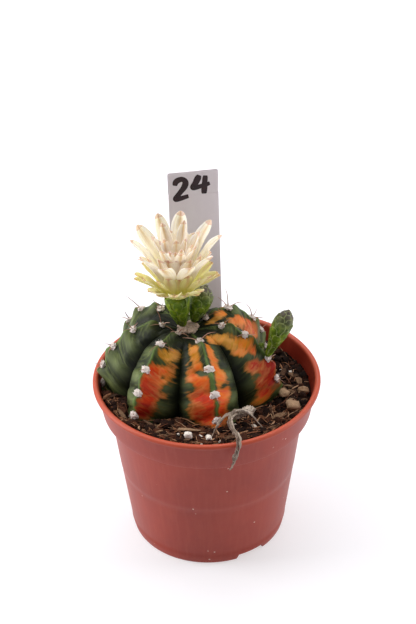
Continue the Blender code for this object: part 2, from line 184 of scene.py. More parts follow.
def endEdit(faceOut=False):
    if faceOut:
        bpy.ops.mesh.select_all(action="SELECT")
        bpy.ops.mesh.normals_make_consistent(inside=False)
    bpy.ops.object.mode_set(mode="OBJECT")


# a filled ring whose edge is ready to be drawn out
def startRing(sides, radius, height):
    bpy.ops.mesh.primitive_circle_add(vertices=sides, radius=radius, fill_type="TRIFAN",
                                      location=(0, 0, height))
    bpy.ops.object.transform_apply(location=True, rotation=False, scale=False)
    editAll()
    bpy.ops.mesh.region_to_loop()


def drawUp(rise):
    bpy.ops.mesh.extrude_edges_move(TRANSFORM_OT_translate={"value": (0, 0, rise)})


# a ring drawn out along (radius, height) points about Z, closed on the axis at both ends
def turnRings(profile, sides):
    radius, height = profile[0]
    startRing(sides, radius, height)
    for nextRadius, nextHeight in profile[1:]:
        drawUp(nextHeight - height)
        grow = nextRadius / radius
        bpy.ops.transform.resize(value=(grow, grow, 1), center_override=(0, 0, nextHeight))
        radius, height = nextRadius, nextHeight
    bpy.ops.mesh.merge(type="COLLAPSE")
    endEdit(faceOut=True)
    return bpy.context.object


# the mesh of the active object, which goes
def takeMesh():
    piece = bpy.context.object
    mesh = piece.data
    bpy.data.objects.remove(piece)
    return mesh


# a straight round rod of unit length and radius, whose copies are bent to shape
def makeRod(sides, rings):
    startRing(sides, 1, 0)
    for _ in range(rings):
        drawUp(1 / rings)
    bpy.ops.mesh.edge_face_add()
    bpy.ops.mesh.poke()
    endEdit(faceOut=True)
    return takeMesh()


def pathPoint(points, share):
    along = min(max(share, 0.0), 1.0) * (len(points) - 1)
    index = min(int(along), len(points) - 2)
    before = points[max(index - 1, 0)]
    after = points[min(index + 2, len(points) - 1)]
    t = along - index
    p1, p2 = points[index], points[index + 1]
    return 0.5 * (2 * p1 + (p2 - before) * t + (2 * before - 5 * p1 + 4 * p2 - after) * t * t
                  + (3 * p1 - before - 3 * p2 + after) * t * t * t)


# a copy of a rod with its own mesh, laid along points, as thick and as flat as told
def bendRod(rod, points, radius, flat=1.0, tone=None, twist=0.0, side=Vector((0.31, 0.17, 0.93))):
    mesh = rod.copy()
    for vertex in mesh.vertices:
        share = vertex.co.z
        heading = pathPoint(points, share + 0.02) - pathPoint(points, share - 0.02)
        heading.normalize()
        across = heading.cross(side)
        if across.length < 0.01:
            across = heading.cross(Vector((1, 0, 0)))
        across.normalize()
        over = across.cross(heading)
        turn = twist * share
        x = vertex.co.x * cos(turn) - vertex.co.y * flat * sin(turn)
        y = vertex.co.x * sin(turn) + vertex.co.y * flat * cos(turn)
        vertex.co = pathPoint(points, share) + (across * x + over * y) * radius(share)
    return newCopy(mesh, tone)


def setMark(mesh, name, values):
    if isinstance(values, float):
        values = [values] * len(mesh.vertices)
    mesh.attributes.new(name, "FLOAT", "POINT").data.foreach_set("value", values)


def newCopy(mesh, tone=None):
    if tone is not None:
        setMark(mesh, "tone", tone)
    made = bpy.data.objects.new(mesh.name, mesh)
    bpy.context.scene.collection.objects.link(made)
    return made


def copyShape(source, change, tone=None):
    mesh = source.copy()
    for vertex in mesh.vertices:
        vertex.co = change(vertex.co)
    return newCopy(mesh, tone)


def scaled(co, by):
    return Vector((co.x * by[0], co.y * by[1], co.z * by[2]))


# the two ends of a CAD node's long axis
def nodeAxis(name):
    places = [vertex.co.copy() for vertex in frame["nodes"][name].data.vertices]
    half = (min(p.z for p in places) + max(p.z for p in places)) / 2
    lower, upper = [p for p in places if p.z < half], [p for p in places if p.z >= half]
    low, high = sum(lower, Vector()) / len(lower), sum(upper, Vector()) / len(upper)
    for _ in range(5):
        axis = (high - low).normalized()
        along = [p.dot(axis) for p in places]
        ends = []
        for end in (min(along), max(along)):
            near = [p for p, a in zip(places, along) if abs(a - end) < 0.3 * mm]
            ends.append(sum(near, Vector()) / len(near))
        low, high = ends
    return low, high


# camera, stage and lights
view = {"lens": 93.03, "place": (0.00088, -0.48323, 0.42591), "pitch": 34.31, "roll": 0.83}


def makeCamera():
    bpy.ops.object.camera_add(location=view["place"])
    camera = bpy.context.object
    camera.rotation_euler = (Matrix.Rotation(radians(90 - view["pitch"]), 3, "X")
                             @ Matrix.Rotation(radians(-view["roll"]), 3, "Z")).to_euler()
    camera.data.lens = view["lens"]
    camera.data.clip_start = 0.01
    bpy.context.scene.camera = camera


def makeLight(name, place, size, power, colour, aim=(0, 0, 0.06)):
    bpy.ops.object.light_add(type="AREA", location=place)
    light = bpy.context.object
    light.name = name
    light.data.shape = "RECTANGLE"
    light.data.size, light.data.size_y = size
    light.data.energy = power
    light.data.color = linear(colour)[:3]
    light.rotation_euler = (Vector(aim) - Vector(place)).to_track_quat("-Z", "Y").to_euler()


def makeStage():
    bpy.ops.mesh.primitive_plane_add(size=1)
    floor = bpy.context.object
    editAll()
    bpy.ops.transform.resize(value=(7, 7, 1))
    endEdit()
    floor.name = "floor"
    # white card: matt, with no pattern of its own, lit from below as well so that it stays white
    card = newMaterial("whiteCard", Roughness=0.9, Base_Color="BFBFC5", Specular_IOR_Level=0.1,
                       Emission_Color="FFFFFF", Emission_Strength=0.54)[0]
    floor.data.materials.append(card)
    world = bpy.data.worlds.new("studio")
    bpy.context.scene.world = world
    world.use_nodes = True
    tree = world.node_tree
    dim = setNode(tree, tree.nodes["Background"], Color="FAF8FF", Strength=0.12)
    # the sweep behind the object is white, and the room that lights it is dim
    white = addNode(tree, "Background", Color="FFFFFF", Strength=1.0)
    seen = addNode(tree, "LightPath", output="Is Camera Ray")
    both = addNode(tree, "MixShader", (seen, dim.outputs[0], white))
    setNode(tree, tree.nodes["World Output"], Surface=both)


makeCamera()
makeStage()
makeLight("leftSoftbox", (-0.80, 0.02, 0.40), (0.45, 0.8), 6.5, "FFFCFA")
makeLight("rightSoftbox", (0.80, 0.02, 0.36), (0.40, 0.8), 3.9, "FFFCFA")
makeLight("topSoftbox", (-0.12, 0.62, 1.25), (2.0, 1.9), 24.0, "FFFFFF", (0, 0.25, 0))
bpy.context.scene.view_settings.view_transform = "Standard"
print("camera, stage and lights are set")

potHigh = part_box("pot")[1]
pot = {
    "footRadius": 29.5 * mm, "wall": 0.9 * mm, "lipHeight": 12.65 * mm, "lipTaper": 1.9 * mm,
    "bead": 1.3 * mm, "ledge": 2.7 * mm, "floor": 3.3 * mm, "footEdge": 1.2 * mm,
    "footRing": 4.4 * mm, "footRingStep": 0.12 * mm, "stackLine": 30 * mm, "stackStep": 0.10 * mm,
    "notchHeight": 2.7 * mm, "notchAngle": 28, "notchSlant": 3.5, "firstNotch": -57,
    "drainRadius": 2.5 * mm, "drainRing": 17.5 * mm, "drains": 6, "sides": 192,
}
rimRadius, potHeight = potHigh.x, potHigh.z
lipTop = rimRadius - pot["bead"]
lipBottom = lipTop - pot["lipTaper"]
shoulder = lipBottom - pot["ledge"]
ledgeHeight = potHeight - pot["lipHeight"]


def wallOuter(height):
    if height < ledgeHeight:
        return mix(pot["footRadius"], shoulder, height / ledgeHeight)
    return mix(lipBottom, lipTop, (height - ledgeHeight) / pot["lipHeight"])


def wallInner(height):
    if height < ledgeHeight + pot["wall"]:
        return mix(pot["footRadius"], shoulder, min(height / ledgeHeight, 1.0)) - pot["wall"]
    return wallOuter(height) - pot["wall"]


def arcPoints(centre, radius, start, end, count):
    angles = [radians(mix(start, end, step / count)) for step in range(count + 1)]
    return [(centre[0] + radius * cos(a), centre[1] + radius * sin(a)) for a in angles]


def potProfile():
    wall, edge, ring, line = pot["wall"], pot["footEdge"], pot["footRing"], pot["stackLine"]
    bead = (pot["bead"] + wall) / 2
    neck = potHeight - 2.8 * bead
    outer = [(almostAxis, pot["floor"]), (wallOuter(pot["floor"]) - edge - wall, pot["floor"])]
    outer += [(pot["footRadius"] - edge - wall, 0.15 * mm), (pot["footRadius"] - edge - 0.7 * wall, 0)]
    outer += arcPoints((pot["footRadius"] - edge, edge), edge, 270, 352, 5)
    outer += [(wallOuter(ring - 0.2 * mm) + pot["footRingStep"], ring - 0.2 * mm)]
    outer += [(wallOuter(ring + 0.1 * mm), ring + 0.1 * mm)]
    outer += [(wallOuter(height), height) for height in (mix(ring, line, step / 12) for step in range(1, 12))]
    outer += [(wallOuter(line) - 0.02 * mm, line), (wallOuter(line) + pot["stackStep"], line + 0.25 * mm)]
    for step in range(1, 12):
        height = mix(line, ledgeHeight - 1.2 * mm, step / 12)
        outer.append((wallOuter(height) + pot["stackStep"] * (1 - step / 12), height))
    outer += arcPoints((shoulder + 0.75 * mm, ledgeHeight - 0.85 * mm), 0.75 * mm, 180, 95, 5)
    outer += arcPoints((lipBottom - 0.5 * mm, ledgeHeight + 0.45 * mm), 0.5 * mm, 275, 352, 5)
    for step in range(1, 8):
        height = mix(ledgeHeight + 1 * mm, potHeight - 3.4 * mm, step / 8)
        outer.append((wallOuter(height), height))
    outer += arcPoints((wallOuter(neck) + 0.6 * mm, neck), 0.6 * mm, 180, 125, 3)
    outer += arcPoints((rimRadius - bead, potHeight - bead), bead, -28, 180, 14)
    step = ledgeHeight + wall
    inner = [(wallInner(potHeight - 4 * mm), potHeight - 4 * mm), (wallInner(step + wall), step + wall)]
    inner += [(shoulder - wall / 3, step + 0.1 * mm), (shoulder - wall, step - wall / 2)]
    inner += [(wallInner(height), height) for height in (40 * mm, 25 * mm, 12 * mm)]
    floorTop = pot["floor"] + wall
    inner += [(wallInner(floorTop + edge), floorTop + edge), (wallInner(floorTop) - edge, floorTop)]
    return outer + inner + [(almostAxis, floorTop)]


# a block across the foot ring, whose ends lean in towards the top
def notchCutter(index):
    middle = radians(pot["firstNotch"] + 120 * index)
    bpy.ops.mesh.primitive_cube_add(size=1)
    cutter = bpy.context.object
    editAll()
    bpy.ops.mesh.subdivide(number_cuts=3)
    endEdit()
    for vertex in cutter.data.vertices:
        raised = vertex.co.z + 0.5
        half = radians(pot["notchAngle"] / 2 - pot["notchSlant"] * raised)
        angle = middle + vertex.co.y * 2 * half
        reach = pot["footRadius"] * mix(0.75, 1.4, vertex.co.x + 0.5)
        vertex.co = (reach * cos(angle), reach * sin(angle), mix(-2 * mm, pot["notchHeight"], raised))
    return cutter


def makePot():
    shell = turnRings(potProfile(), pot["sides"])
    cutters = [notchCutter(index) for index in range(3)]
    for index in range(pot["drains"]):
        out, _ = ways(radians(pot["firstNotch"] + 360 * index / pot["drains"]))
        bpy.ops.mesh.primitive_cylinder_add(vertices=32, radius=pot["drainRadius"], depth=6 * mm,
                                            location=pot["drainRing"] * out + pot["floor"] * up)
        cutters.append(bpy.context.object)
    for cutter in cutters:
        applyModifier(shell, "BOOLEAN", operation="DIFFERENCE", solver="EXACT", object=cutter)
        bpy.data.objects.remove(cutter)
    return shell


# thin injection-moulded polypropylene: satin, with a faint waviness, scuffs and dust, and a painted
# highlight that makes the rolled rim brighter than the wall
def pottedPlastic():
    made, tree, shader = newMaterial("mouldedPolypropylene", IOR=1.49, Roughness=0.42,
                                     Specular_IOR_Level=0.38)
    place = addNode(tree, "TexCoord", output="Object")
    cloud = addNode(tree, "TexNoise", Scale=38.0, Detail=4.0, Roughness=0.6, Vector=place)
    colour = addNode(tree, "ValToRGB", stops=[(0.3, "8A2A1C"), (0.5, "94301F"), (0.72, "9E3826")], Fac=cloud)
    # drawn streaks up the wall, from the mould's polish, every 1.5 mm or so
    around = addNode(tree, "Mapping", Scale=(1.0, 1.0, 0.03), Vector=place)
    streaks = addNode(tree, "TexNoise", Scale=650.0, Detail=2.0, Vector=around)
    pale = addNode(tree, "ValToRGB", stops=[(0.45, 0.0), (0.9, 0.5)], Fac=streaks)
    colour = addNode(tree, "MixRGB", Fac=pale, Color1=colour, Color2="A4442F")
    # dust specks 0.2 to 0.4 mm across
    specks = addNode(tree, "TexVoronoi", output="Distance", Scale=330.0, Randomness=1.0, Vector=place)
    seldom = addNode(tree, "TexNoise", Scale=120.0, Detail=1.0, Vector=place)
    near = addNode(tree, "Math", (specks, 0.11), operation="LESS_THAN")
    some = addNode(tree, "Math", (seldom, 0.62), operation="GREATER_THAN")
    both = addNode(tree, "Math", (near, some), operation="MULTIPLY")
    colour = addNode(tree, "MixRGB", Fac=both, Color1=colour, Color2="C9A090")
    height = addNode(tree, "SeparateXYZ", output="Z", Vector=place)
    # painted highlight: the rolled rim is mixed towards a brighter orange, as if lit from above
    paintedRimHighlight = addNode(tree, "MapRange", From_Min=potHeight - 1.6 * mm, From_Max=potHeight - 0.2 * mm,
                      To_Max=0.85, Value=height)
    colour = addNode(tree, "MixRGB", Fac=paintedRimHighlight, Color1=colour, Color2="C4563A")
    rough = addNode(tree, "MapRange", To_Min=0.36, To_Max=0.50, Value=cloud)
    # moulding texture 0.15 mm grain over a wall that is a little wavy
    grain = addNode(tree, "TexNoise", Scale=2600.0, Detail=2.0, Vector=place)
    wavy = addNode(tree, "Math", (grain, 0.12, cloud), operation="MULTIPLY_ADD")
    bump = addNode(tree, "Bump", Strength=0.10, Distance=0.0012, Height=wavy)
    setNode(tree, shader, Base_Color=colour, Roughness=rough, Normal=bump)
    return made


finishPiece(makePot(), "nurseryPot", pottedPlastic(), ["pot"], 30)
print("pot is made")

body = {
    "radius": 33.7 * mm, "x": -6.4 * mm, "y": 4.0 * mm, "above": 30.7 * mm, "below": 15.0 * mm,
    "equator": potHeight - 5.1 * mm, "crownDip": 7.3 * mm, "dipWidth": 0.35, "roundness": 0.95,
    "ribs": (32.8, 85.5, 138.2, 184.1, 234.0, 287.5, 345.5),
    # how far each rib reaches inside the pot, and above it
    "reachLow": (33.7, 28.76, 31.48, 32.58, 33.7, 33.7, 33.7),
    "reachHigh": (33.7, 28.76, 33.7, 33.7, 33.7, 33.7, 33.7),
    "rimBulge": 6.0 * mm, "flat": 0.16, "deep": 0.11,
    "chin": 1.2 * mm, "chinPolar": 5.0, "band": 0.60 * mm, "wave": 0.35 * mm, "keel": 0.5 * mm,
    "patchSpread": 1.12, "stepsPerRib": 42, "rings": 128,
}
# polar angles in degrees of the wool cushions down each rib's crest
areoles = {
    0: (12, 30, 56, 70, 86), 1: (16, 38, 60, 82), 2: (23, 44, 63, 82), 3: (16, 36, 55, 72, 88),
    4: (10, 29, 49, 65, 81), 5: (22, 45, 62, 80), 6: (21, 38, 61, 78),
}
# warm patches of the variegation: rib and share of the way to the next, polar angle, the size each
# way, strength, and ripeness from yellow to red
patches = [
    (4.3, 38, 0.19, 6.5, 1.0, 0.0), (4.16, 35, 0.1, 5.5, 0.85, 0.05), (4.14, 50, 0.24, 7.0, 1.25, 0.62),
    (4.3, 55, 0.14, 9.0, 0.95, 0.36), (4.08, 60, 0.2, 9.0, 1.2, 0.75),
    (4.14, 69, 0.16, 7.0, 1.05, 0.85), (4.06, 77, 0.14, 7.0, 1.15, 1.0), (4.3, 66, 0.08, 4.5, 0.7, 0.4),
    (4.8, 33, 0.1, 8.0, 1.1, 0.2), (4.73, 28, 0.06, 5.0, 0.7, 0.05), (4.84, 44, 0.1, 6.0, 1.0, 0.45),
    (4.78, 52, 0.14, 8.0, 1.15, 0.55), (4.92, 54, 0.1, 6.0, 1.05, 0.5),
    (4.8, 64, 0.14, 7.0, 1.15, 0.78), (4.93, 68, 0.12, 8.0, 1.15, 0.8),
    (4.84, 77, 0.16, 8.0, 1.15, 0.85), (4.97, 82, 0.1, 5.0, 0.95, 0.4),
    (5.13, 33, 0.07, 8.0, 1.05, 0.4), (5.13, 44, 0.08, 8.0, 1.05, 0.45),
    (5.13, 55, 0.1, 8.0, 1.1, 0.35), (5.14, 64, 0.12, 7.0, 1.15, 0.5), (5.06, 73, 0.1, 7.0, 1.1, 0.65),
    (5.1, 81, 0.08, 5.0, 0.9, 0.5), (5.42, 26, 0.15, 5.5, 1.0, 0.3), (5.62, 30, 0.18, 7.0, 1.2, 0.05),
    (5.66, 38, 0.16, 6.0, 1.2, 0.0), (5.84, 41, 0.11, 6.5, 1.15, 0.28), (5.7, 47, 0.12, 4.5, 1.1, 0.4),
    (5.88, 50, 0.08, 4.0, 0.95, 0.5), (5.76, 60, 0.14, 5.5, 1.15, 0.92), (5.9, 66, 0.12, 7.0, 1.2, 1.0),
    (5.78, 74, 0.13, 6.0, 1.15, 0.95), (5.92, 76, 0.12, 7.0, 1.1, 1.0), (5.74, 88, 0.16, 5.0, 1.0, 0.3),
    (5.8, 83, 0.12, 5.0, 1.05, 0.85), (6.62, 20, 0.2, 6.5, 1.15, 0.08), (6.38, 30, 0.15, 7.5, 1.1, 0.1),
    (6.8, 24, 0.13, 6.0, 1.15, 0.4), (6.7, 40, 0.19, 9.0, 1.15, 0.55), (6.66, 56, 0.2, 9.0, 1.15, 0.9),
    (6.84, 53, 0.08, 6.0, 0.9, 0.7), (6.3, 52, 0.12, 9.0, 0.95, 0.7), (6.18, 70, 0.14, 8.0, 0.95, 0.9),
    (0.12, 62, 0.12, 7.0, 0.95, 0.75), (0.22, 40, 0.12, 6.0, 0.7, 0.1), (1.8, 58, 0.12, 7.0, 0.75, 0.3),
]
# dark green that lies over the warm patches
darkPatches = [
    (5.44, 42, 0.12, 5.0, 1.3), (5.6, 55, 0.1, 4.0, 1.1), (5.97, 54, 0.06, 4.0, 1.0),
    (5.52, 74, 0.14, 14.0, 1.3), (6.9, 36, 0.1, 6.0, 1.3), (6.97, 46, 0.05, 8.0, 1.0),
    (5.5, 57, 0.09, 10.0, 1.2), (6.46, 40, 0.06, 9.0, 0.9), (5.98, 88, 0.08, 7.0, 0.6),
    (4.2, 43, 0.14, 3.2, 0.55), (5.76, 53, 0.09, 2.6, 0.8), (4.86, 47.5, 0.08, 2.4, 0.9),
    (5.16, 60, 0.06, 2.6, 0.7), (4.34, 61, 0.07, 5.0, 0.9), (4.7, 59, 0.06, 3.5, 0.9),
    (4.24, 53, 0.06, 2.2, 0.6), (4.28, 71, 0.06, 3.0, 0.7), (6.54, 25, 0.05, 4.0, 0.9),
    (6.78, 33, 0.07, 3.5, 0.9), (3.91, 65, 0.08, 30.0, 2.2), (5.0, 34, 0.03, 9.0, 1.4),
    (5.0, 54, 0.036, 7.5, 1.4), (5.0, 71, 0.028, 6.0, 1.2),
]
ribCount = len(body["ribs"])


# how far a rib reaches from the cactus's axis at a height
def ribReach(index, height):
    index %= ribCount
    share = ease((height - potHeight + body["rimBulge"] / 2) / body["rimBulge"])
    return mix(body["reachLow"][index], body["reachHigh"][index], share) * mm


# a point of the plain skin, a share of the way from one crest to the next
def skinPoint(rib, share, polar, extra=0.0):
    start = body["ribs"][rib % ribCount]
    turn = (body["ribs"][(rib + 1) % ribCount] - start) % 360
    azimuth = radians(start + turn * share)
    intoGroove = 1 - abs(2 * share - 1)
    half = body["above"] if polar < pi / 2 else body["below"]
    height = body["equator"] + half * cos(polar)
    reach = mix(ribReach(rib, height), ribReach(rib + 1, height), ease(share)) + extra * sin(polar)
    hollow = body["flat"] * intoGroove + body["deep"] * intoGroove**3
    radius = reach * max(sin(polar), 0.0) ** body["roundness"] * (1 - hollow)
    if polar < pi / 2:
        height -= body["crownDip"] * exp(-((radius / (body["dipWidth"] * body["radius"])) ** 2))
    height += extra * cos(polar)
    return Vector((body["x"] + radius * cos(azimuth), body["y"] + radius * sin(azimuth), height))


# the crest nearer to a place, and how far the place is down its flank
def flankOf(rib, share):
    return (rib, share) if share < 0.5 else (rib + 1, 1 - share)


# chins below the wool cushions, and bands that run from them down into the grooves
def relief(rib, share, polar):
    nearer, side = flankOf(rib, share)
    intoGroove = 2 * side
    degrees = polar * 180 / pi
    rise = 0.0
    for place in areoles[nearer % ribCount]:
        below = degrees - place - body["chinPolar"] - 10 * intoGroove
        rise += body["chin"] * exp(-(below / 4.5) ** 2) * exp(-(intoGroove / 0.30) ** 2)
        rise -= 0.7 * body["chin"] * exp(-((degrees - place) / 2.6) ** 2) * exp(-(intoGroove / 0.12) ** 2)
        rise += body["band"] * exp(-(below / 5.0) ** 2) * (1 - intoGroove) ** 0.5
        crease = degrees - place + 4 - 16 * intoGroove
        rise -= 1.2 * body["band"] * exp(-(crease / 1.8) ** 2) * intoGroove * (1 - intoGroove) * 4
    # a sharp keel, but for the ribs that the wall presses
    pressed = body["reachLow"][nearer % ribCount] < body["radius"] / mm
    rise -= body["keel"] * exp(-((intoGroove - 0.36) / 0.22) ** 2)
    rise += 0.0 if pressed else body["keel"] * exp(-(intoGroove / 0.10) ** 2)
    spot = Vector((7.3 * nearer + 0.8 * intoGroove, degrees / 13 + 0.7 * intoGroove, share > 0.5))
    rise += body["wave"] * noise.noise(spot * 1.6) * min(1.0, 1.6 - intoGroove)
    return rise * min(1.0, polar / 0.35) * (1 - ease((degrees - 92) / 10))


# how strongly a band shows that runs from a wool cushion to the groove
def bandStrength(rib, share, polar):
    nearer, side = flankOf(rib, share)
    start = polar * 180 / pi - body["chinPolar"] - 20 * side
    return max(exp(-((start - place) / 4.0) ** 2) for place in areoles[nearer % ribCount])


# the strongest of the patches at a place, and the ripeness that they give it together
def patchSum(spots, turn, degrees):
    strongest, ripe, weight = 0.0, 0.0, 0.0
    for spot in spots:
        away = (turn - spot[0] + ribCount / 2) % ribCount - ribCount / 2
        wide, tall = spot[2] * body["patchSpread"], spot[3] * body["patchSpread"]
        value = spot[4] * exp(-(away / wide) ** 2 - ((degrees - spot[1]) / tall) ** 2)
        strongest = max(strongest, value)
        if len(spot) > 5:
            ripe += spot[5] * value ** 3
            weight += value ** 3
    return strongest, ripe / weight if weight > 1e-9 else 0.0


def makeBody():
    steps = body["stepsPerRib"]
    count = steps * ribCount
    bpy.ops.mesh.primitive_uv_sphere_add(segments=count, ring_count=body["rings"], radius=1)
    globe = bpy.context.object
    mesh = globe.data
    places, marks = [], []
    for vertex in mesh.vertices:
        polar = atan2(hypot(vertex.co.x, vertex.co.y), vertex.co.z)
        step = round((atan2(vertex.co.y, vertex.co.x) + pi / 2) / (2 * pi) * count) % count
        rib, share = step // steps, step % steps / steps
        intoGroove = 1 - abs(2 * share - 1)
        places.append((rib, share, polar, intoGroove))
        vertex.co = skinPoint(rib, share, polar, relief(rib, share, polar))
        degrees = polar * 180 / pi
        warm, ripe = patchSum(patches, rib + share, degrees)
        dark, _ = patchSum(darkPatches, rib + share, degrees)
        # the depth into the groove, raised round the crown: it places the painted shade in the grooves and at
        # the crown, and the painted crest and peach highlights
        groove = intoGroove + 0.85 * exp(-(degrees / 29) ** 2) * min(1, 4 * intoGroove)
        band = bandStrength(rib, share, polar) * intoGroove ** 0.3
        marks.append((warm * (1 - 0.9 * min(dark, 1.0)), ripe, groove, band))
    for name, values in zip(("warm", "ripe", "groove", "band"), zip(*marks)):
        setMark(mesh, name, values)
    # the map runs from crest to groove on each flank, and slants down as the streaks do
    layer = mesh.uv_layers.active
    for face in mesh.polygons:
        corners = [places[mesh.loops[loop].vertex_index] for loop in face.loop_indices]
        nextCrest = max(share for _, share, _, _ in corners) >= 0.5
        middle = sum(1 if nextCrest and share == 0 else share for _, share, _, _ in corners) / len(corners)
        flank = 2 * min(corners, key=lambda corner: abs(corner[1] - 0.5))[0] + (middle > 0.5)
        for loop, (_, _, polar, intoGroove) in zip(face.loop_indices, corners):
            layer.data[loop].uv = (intoGroove + 2 * flank, polar - 0.30 * intoGroove)
    return globe


# living skin with a thin wax: dark green, with yellow, orange and red where it lacks green, all
# drawn out in feathery streaks from crest to groove
def waxySkin():
    made, tree, shader = newMaterial("waxySkin", IOR=1.45, Roughness=0.50, Subsurface_Weight=0.06,
                                     Subsurface_Radius=(0.0012, 0.0008, 0.0004), Subsurface_Scale=1.0,
                                     Specular_IOR_Level=0.24)
    flank = addNode(tree, "UVMap", uv_map="UVMap")
    place = addNode(tree, "TexCoord", output="Object")
    warm, ripe, groove, band = [addNode(tree, "Attribute", output="Fac", attribute_name=name)
                                for name in ("warm", "ripe", "groove", "band")]
    # streaks 0.7 mm wide and 6 mm long, and broader ones of 3 mm
    drawn = addNode(tree, "Mapping", Scale=(1.2, 13.0, 1.0), Vector=flank)
    fine = addNode(tree, "TexNoise", Scale=1.7, Detail=3.0, Roughness=0.5, Distortion=0.5, Vector=drawn)
    drawn = addNode(tree, "Mapping", Scale=(1.2, 5.0, 1.0), Vector=flank)
    broad = addNode(tree, "TexNoise", Scale=1.9, Detail=4.0, Roughness=0.6, Distortion=0.9, Vector=drawn)
    ragged = addNode(tree, "Math", (fine, 1.0, -0.5), operation="MULTIPLY_ADD")
    raggedBroad = addNode(tree, "Math", (broad, 1.0, -0.5), operation="MULTIPLY_ADD")
    edge = addNode(tree, "Math", (ragged, 0.80, warm), operation="MULTIPLY_ADD")
    edge = addNode(tree, "Math", (raggedBroad, 0.85, edge), operation="MULTIPLY_ADD")
    # greens: darker and paler streaks of the skin's own, painted highlight along the bands and crests on the
    # flank, and painted shade, nearly black, in the groove
    greenFine = addNode(tree, "ValToRGB", Fac=fine, stops=[
        (0.30, "0F150A"), (0.44, "1F2912"), (0.55, "39441D"), (0.66, "6A763C"), (0.78, "9AA466")])
    greenBroad = addNode(tree, "ValToRGB", Fac=broad,
                         stops=[(0.32, "10150A"), (0.50, "2E381A"), (0.68, "747E4A")])
    green = addNode(tree, "MixRGB", Fac=0.5, Color1=greenFine, Color2=greenBroad)
    # painted highlight: a paler olive along the band ridges
    paintedBandHighlight = addNode(tree, "MapRange", To_Max=0.62, Value=band)
    green = addNode(tree, "MixRGB", Fac=paintedBandHighlight, Color1=green, Color2="8C9A62")
    # painted shade: nearly black down in the grooves and round the crown
    deep = addNode(tree, "ValToRGB", stops=[(0.40, 0.0), (0.94, 0.92)], Fac=groove)
    green = addNode(tree, "MixRGB", Fac=deep, Color1=green, Color2="0B1008")
    # painted highlight: a paler green along each crest
    paintedCrestHighlight = addNode(tree, "ValToRGB", stops=[(0.0, 0.70), (0.05, 0.45), (0.11, 0.0)], Fac=groove)
    green = addNode(tree, "MixRGB", Fac=paintedCrestHighlight, Color1=green, Color2="6A8540")
    # warm colours by ripeness, each a little mottled, with peach streaks of painted highlight, most of all by
    # the groove
    mottled = addNode(tree, "Math", (ragged, 0.65, ripe), operation="MULTIPLY_ADD")
    mottled = addNode(tree, "Math", (raggedBroad, 0.45, mottled), operation="MULTIPLY_ADD")
    patch = addNode(tree, "ValToRGB", Fac=mottled, stops=[
        (0.0, "B07E04"), (0.20, "CE8008"), (0.42, "E0701C"), (0.68, "D23E12"), (1.0, "9C1A08")])
    # painted highlight: paler peach streaks laid by noise, strongest by the groove
    paintedPeachHighlightMask = addNode(tree, "Math", (groove, 0.35, broad), operation="MULTIPLY_ADD")
    paintedPeachHighlight = addNode(tree, "ValToRGB", stops=[(0.60, 0.0), (0.84, 0.5)], Fac=paintedPeachHighlightMask)
    patch = addNode(tree, "MixRGB", Fac=paintedPeachHighlight, Color1=patch, Color2="E0A058")
    # from skin to patch: green, olive, a peach rim, then the patch's own colour
    rim = addNode(tree, "ValToRGB", Fac=edge, stops=[
        (0.16, "29341A"), (0.36, "504C1A"), (0.56, "8E5E22"), (0.78, "BE803E")])
    intoRim = addNode(tree, "ValToRGB", stops=[(0.16, 0.0), (0.50, 1.0)], Fac=edge)
    intoPatch = addNode(tree, "ValToRGB", stops=[(0.32, 0.0), (0.86, 1.0)], Fac=edge)
    colour = addNode(tree, "MixRGB", Fac=intoRim, Color1=green, Color2=rim)
    colour = addNode(tree, "MixRGB", Fac=intoPatch, Color1=colour, Color2=patch)
    # wax blooms in spots of 2 mm, so the gloss is uneven
    bloom = addNode(tree, "TexNoise", Scale=420.0, Detail=3.0, Vector=place)
    rough = addNode(tree, "MapRange", To_Min=0.38, To_Max=0.62, Value=bloom)
    cells = addNode(tree, "TexVoronoi", output="Distance", Scale=2200.0, Vector=place)
    height = addNode(tree, "Math", (cells, 0.15, fine), operation="MULTIPLY_ADD")
    bump = addNode(tree, "Bump", Strength=0.35, Distance=0.0005, Height=height)
    setNode(tree, shader, Base_Color=colour, Roughness=rough, Normal=bump)
    return made


finishPiece(makeBody(), "cactusBody", waxySkin(), ["cactus_body"], 70)
print("cactus body is made")

soil = {
    "headroom": 7.5 * mm, "heap": 4.8 * mm, "heapAzimuth": 248, "heapStart": 8 * mm, "heapEnd": 27 * mm,
    "rough": 0.7 * mm, "grain": 6 * mm, "gap": 0.3 * mm, "hollow": 0.25 * mm, "sides": 180, "rings": 62,
    "crumbs": 1500, "crumbSize": (0.6 * mm, 2.2 * mm), "fibres": 900, "bark": 46, "perlite": 26, "seed": 11,
}
soilLevel = potHeight - soil["headroom"]
soilWall = wallInner(soilLevel)
labelLow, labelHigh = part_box("plant_label")
labelMesh = frame["nodes"]["plant_label"].data
labelFoot = max(v.co.y for v in labelMesh.vertices if v.co.z < potHeight) - 3 * mm


def soilHeight(x, y):
    azimuth = radians(soil["heapAzimuth"])
    forward = x * cos(azimuth) + y * sin(azimuth)
    heap = soil["heap"] * ease((forward - soil["heapStart"]) / (soil["heapEnd"] - soil["heapStart"]))
    return soilLevel + heap + soil["rough"] * noise.noise(Vector((x, y, 0)) / soil["grain"])


# the clods: lumps of 3 mm with finer ones of 1 mm on them, and fewer against the wall
def clods(x, y):
    place = Vector((x, y, 0.01))
    lumps = abs(noise.noise(place / (3.2 * mm))) * 1.5 + noise.noise(place / (1.3 * mm)) * 0.55
    nearWall = ease((hypot(x, y) - 35.5 * mm) / (3 * mm))
    return (lumps - 0.45) * mm * (1 - 0.5 * nearWall)


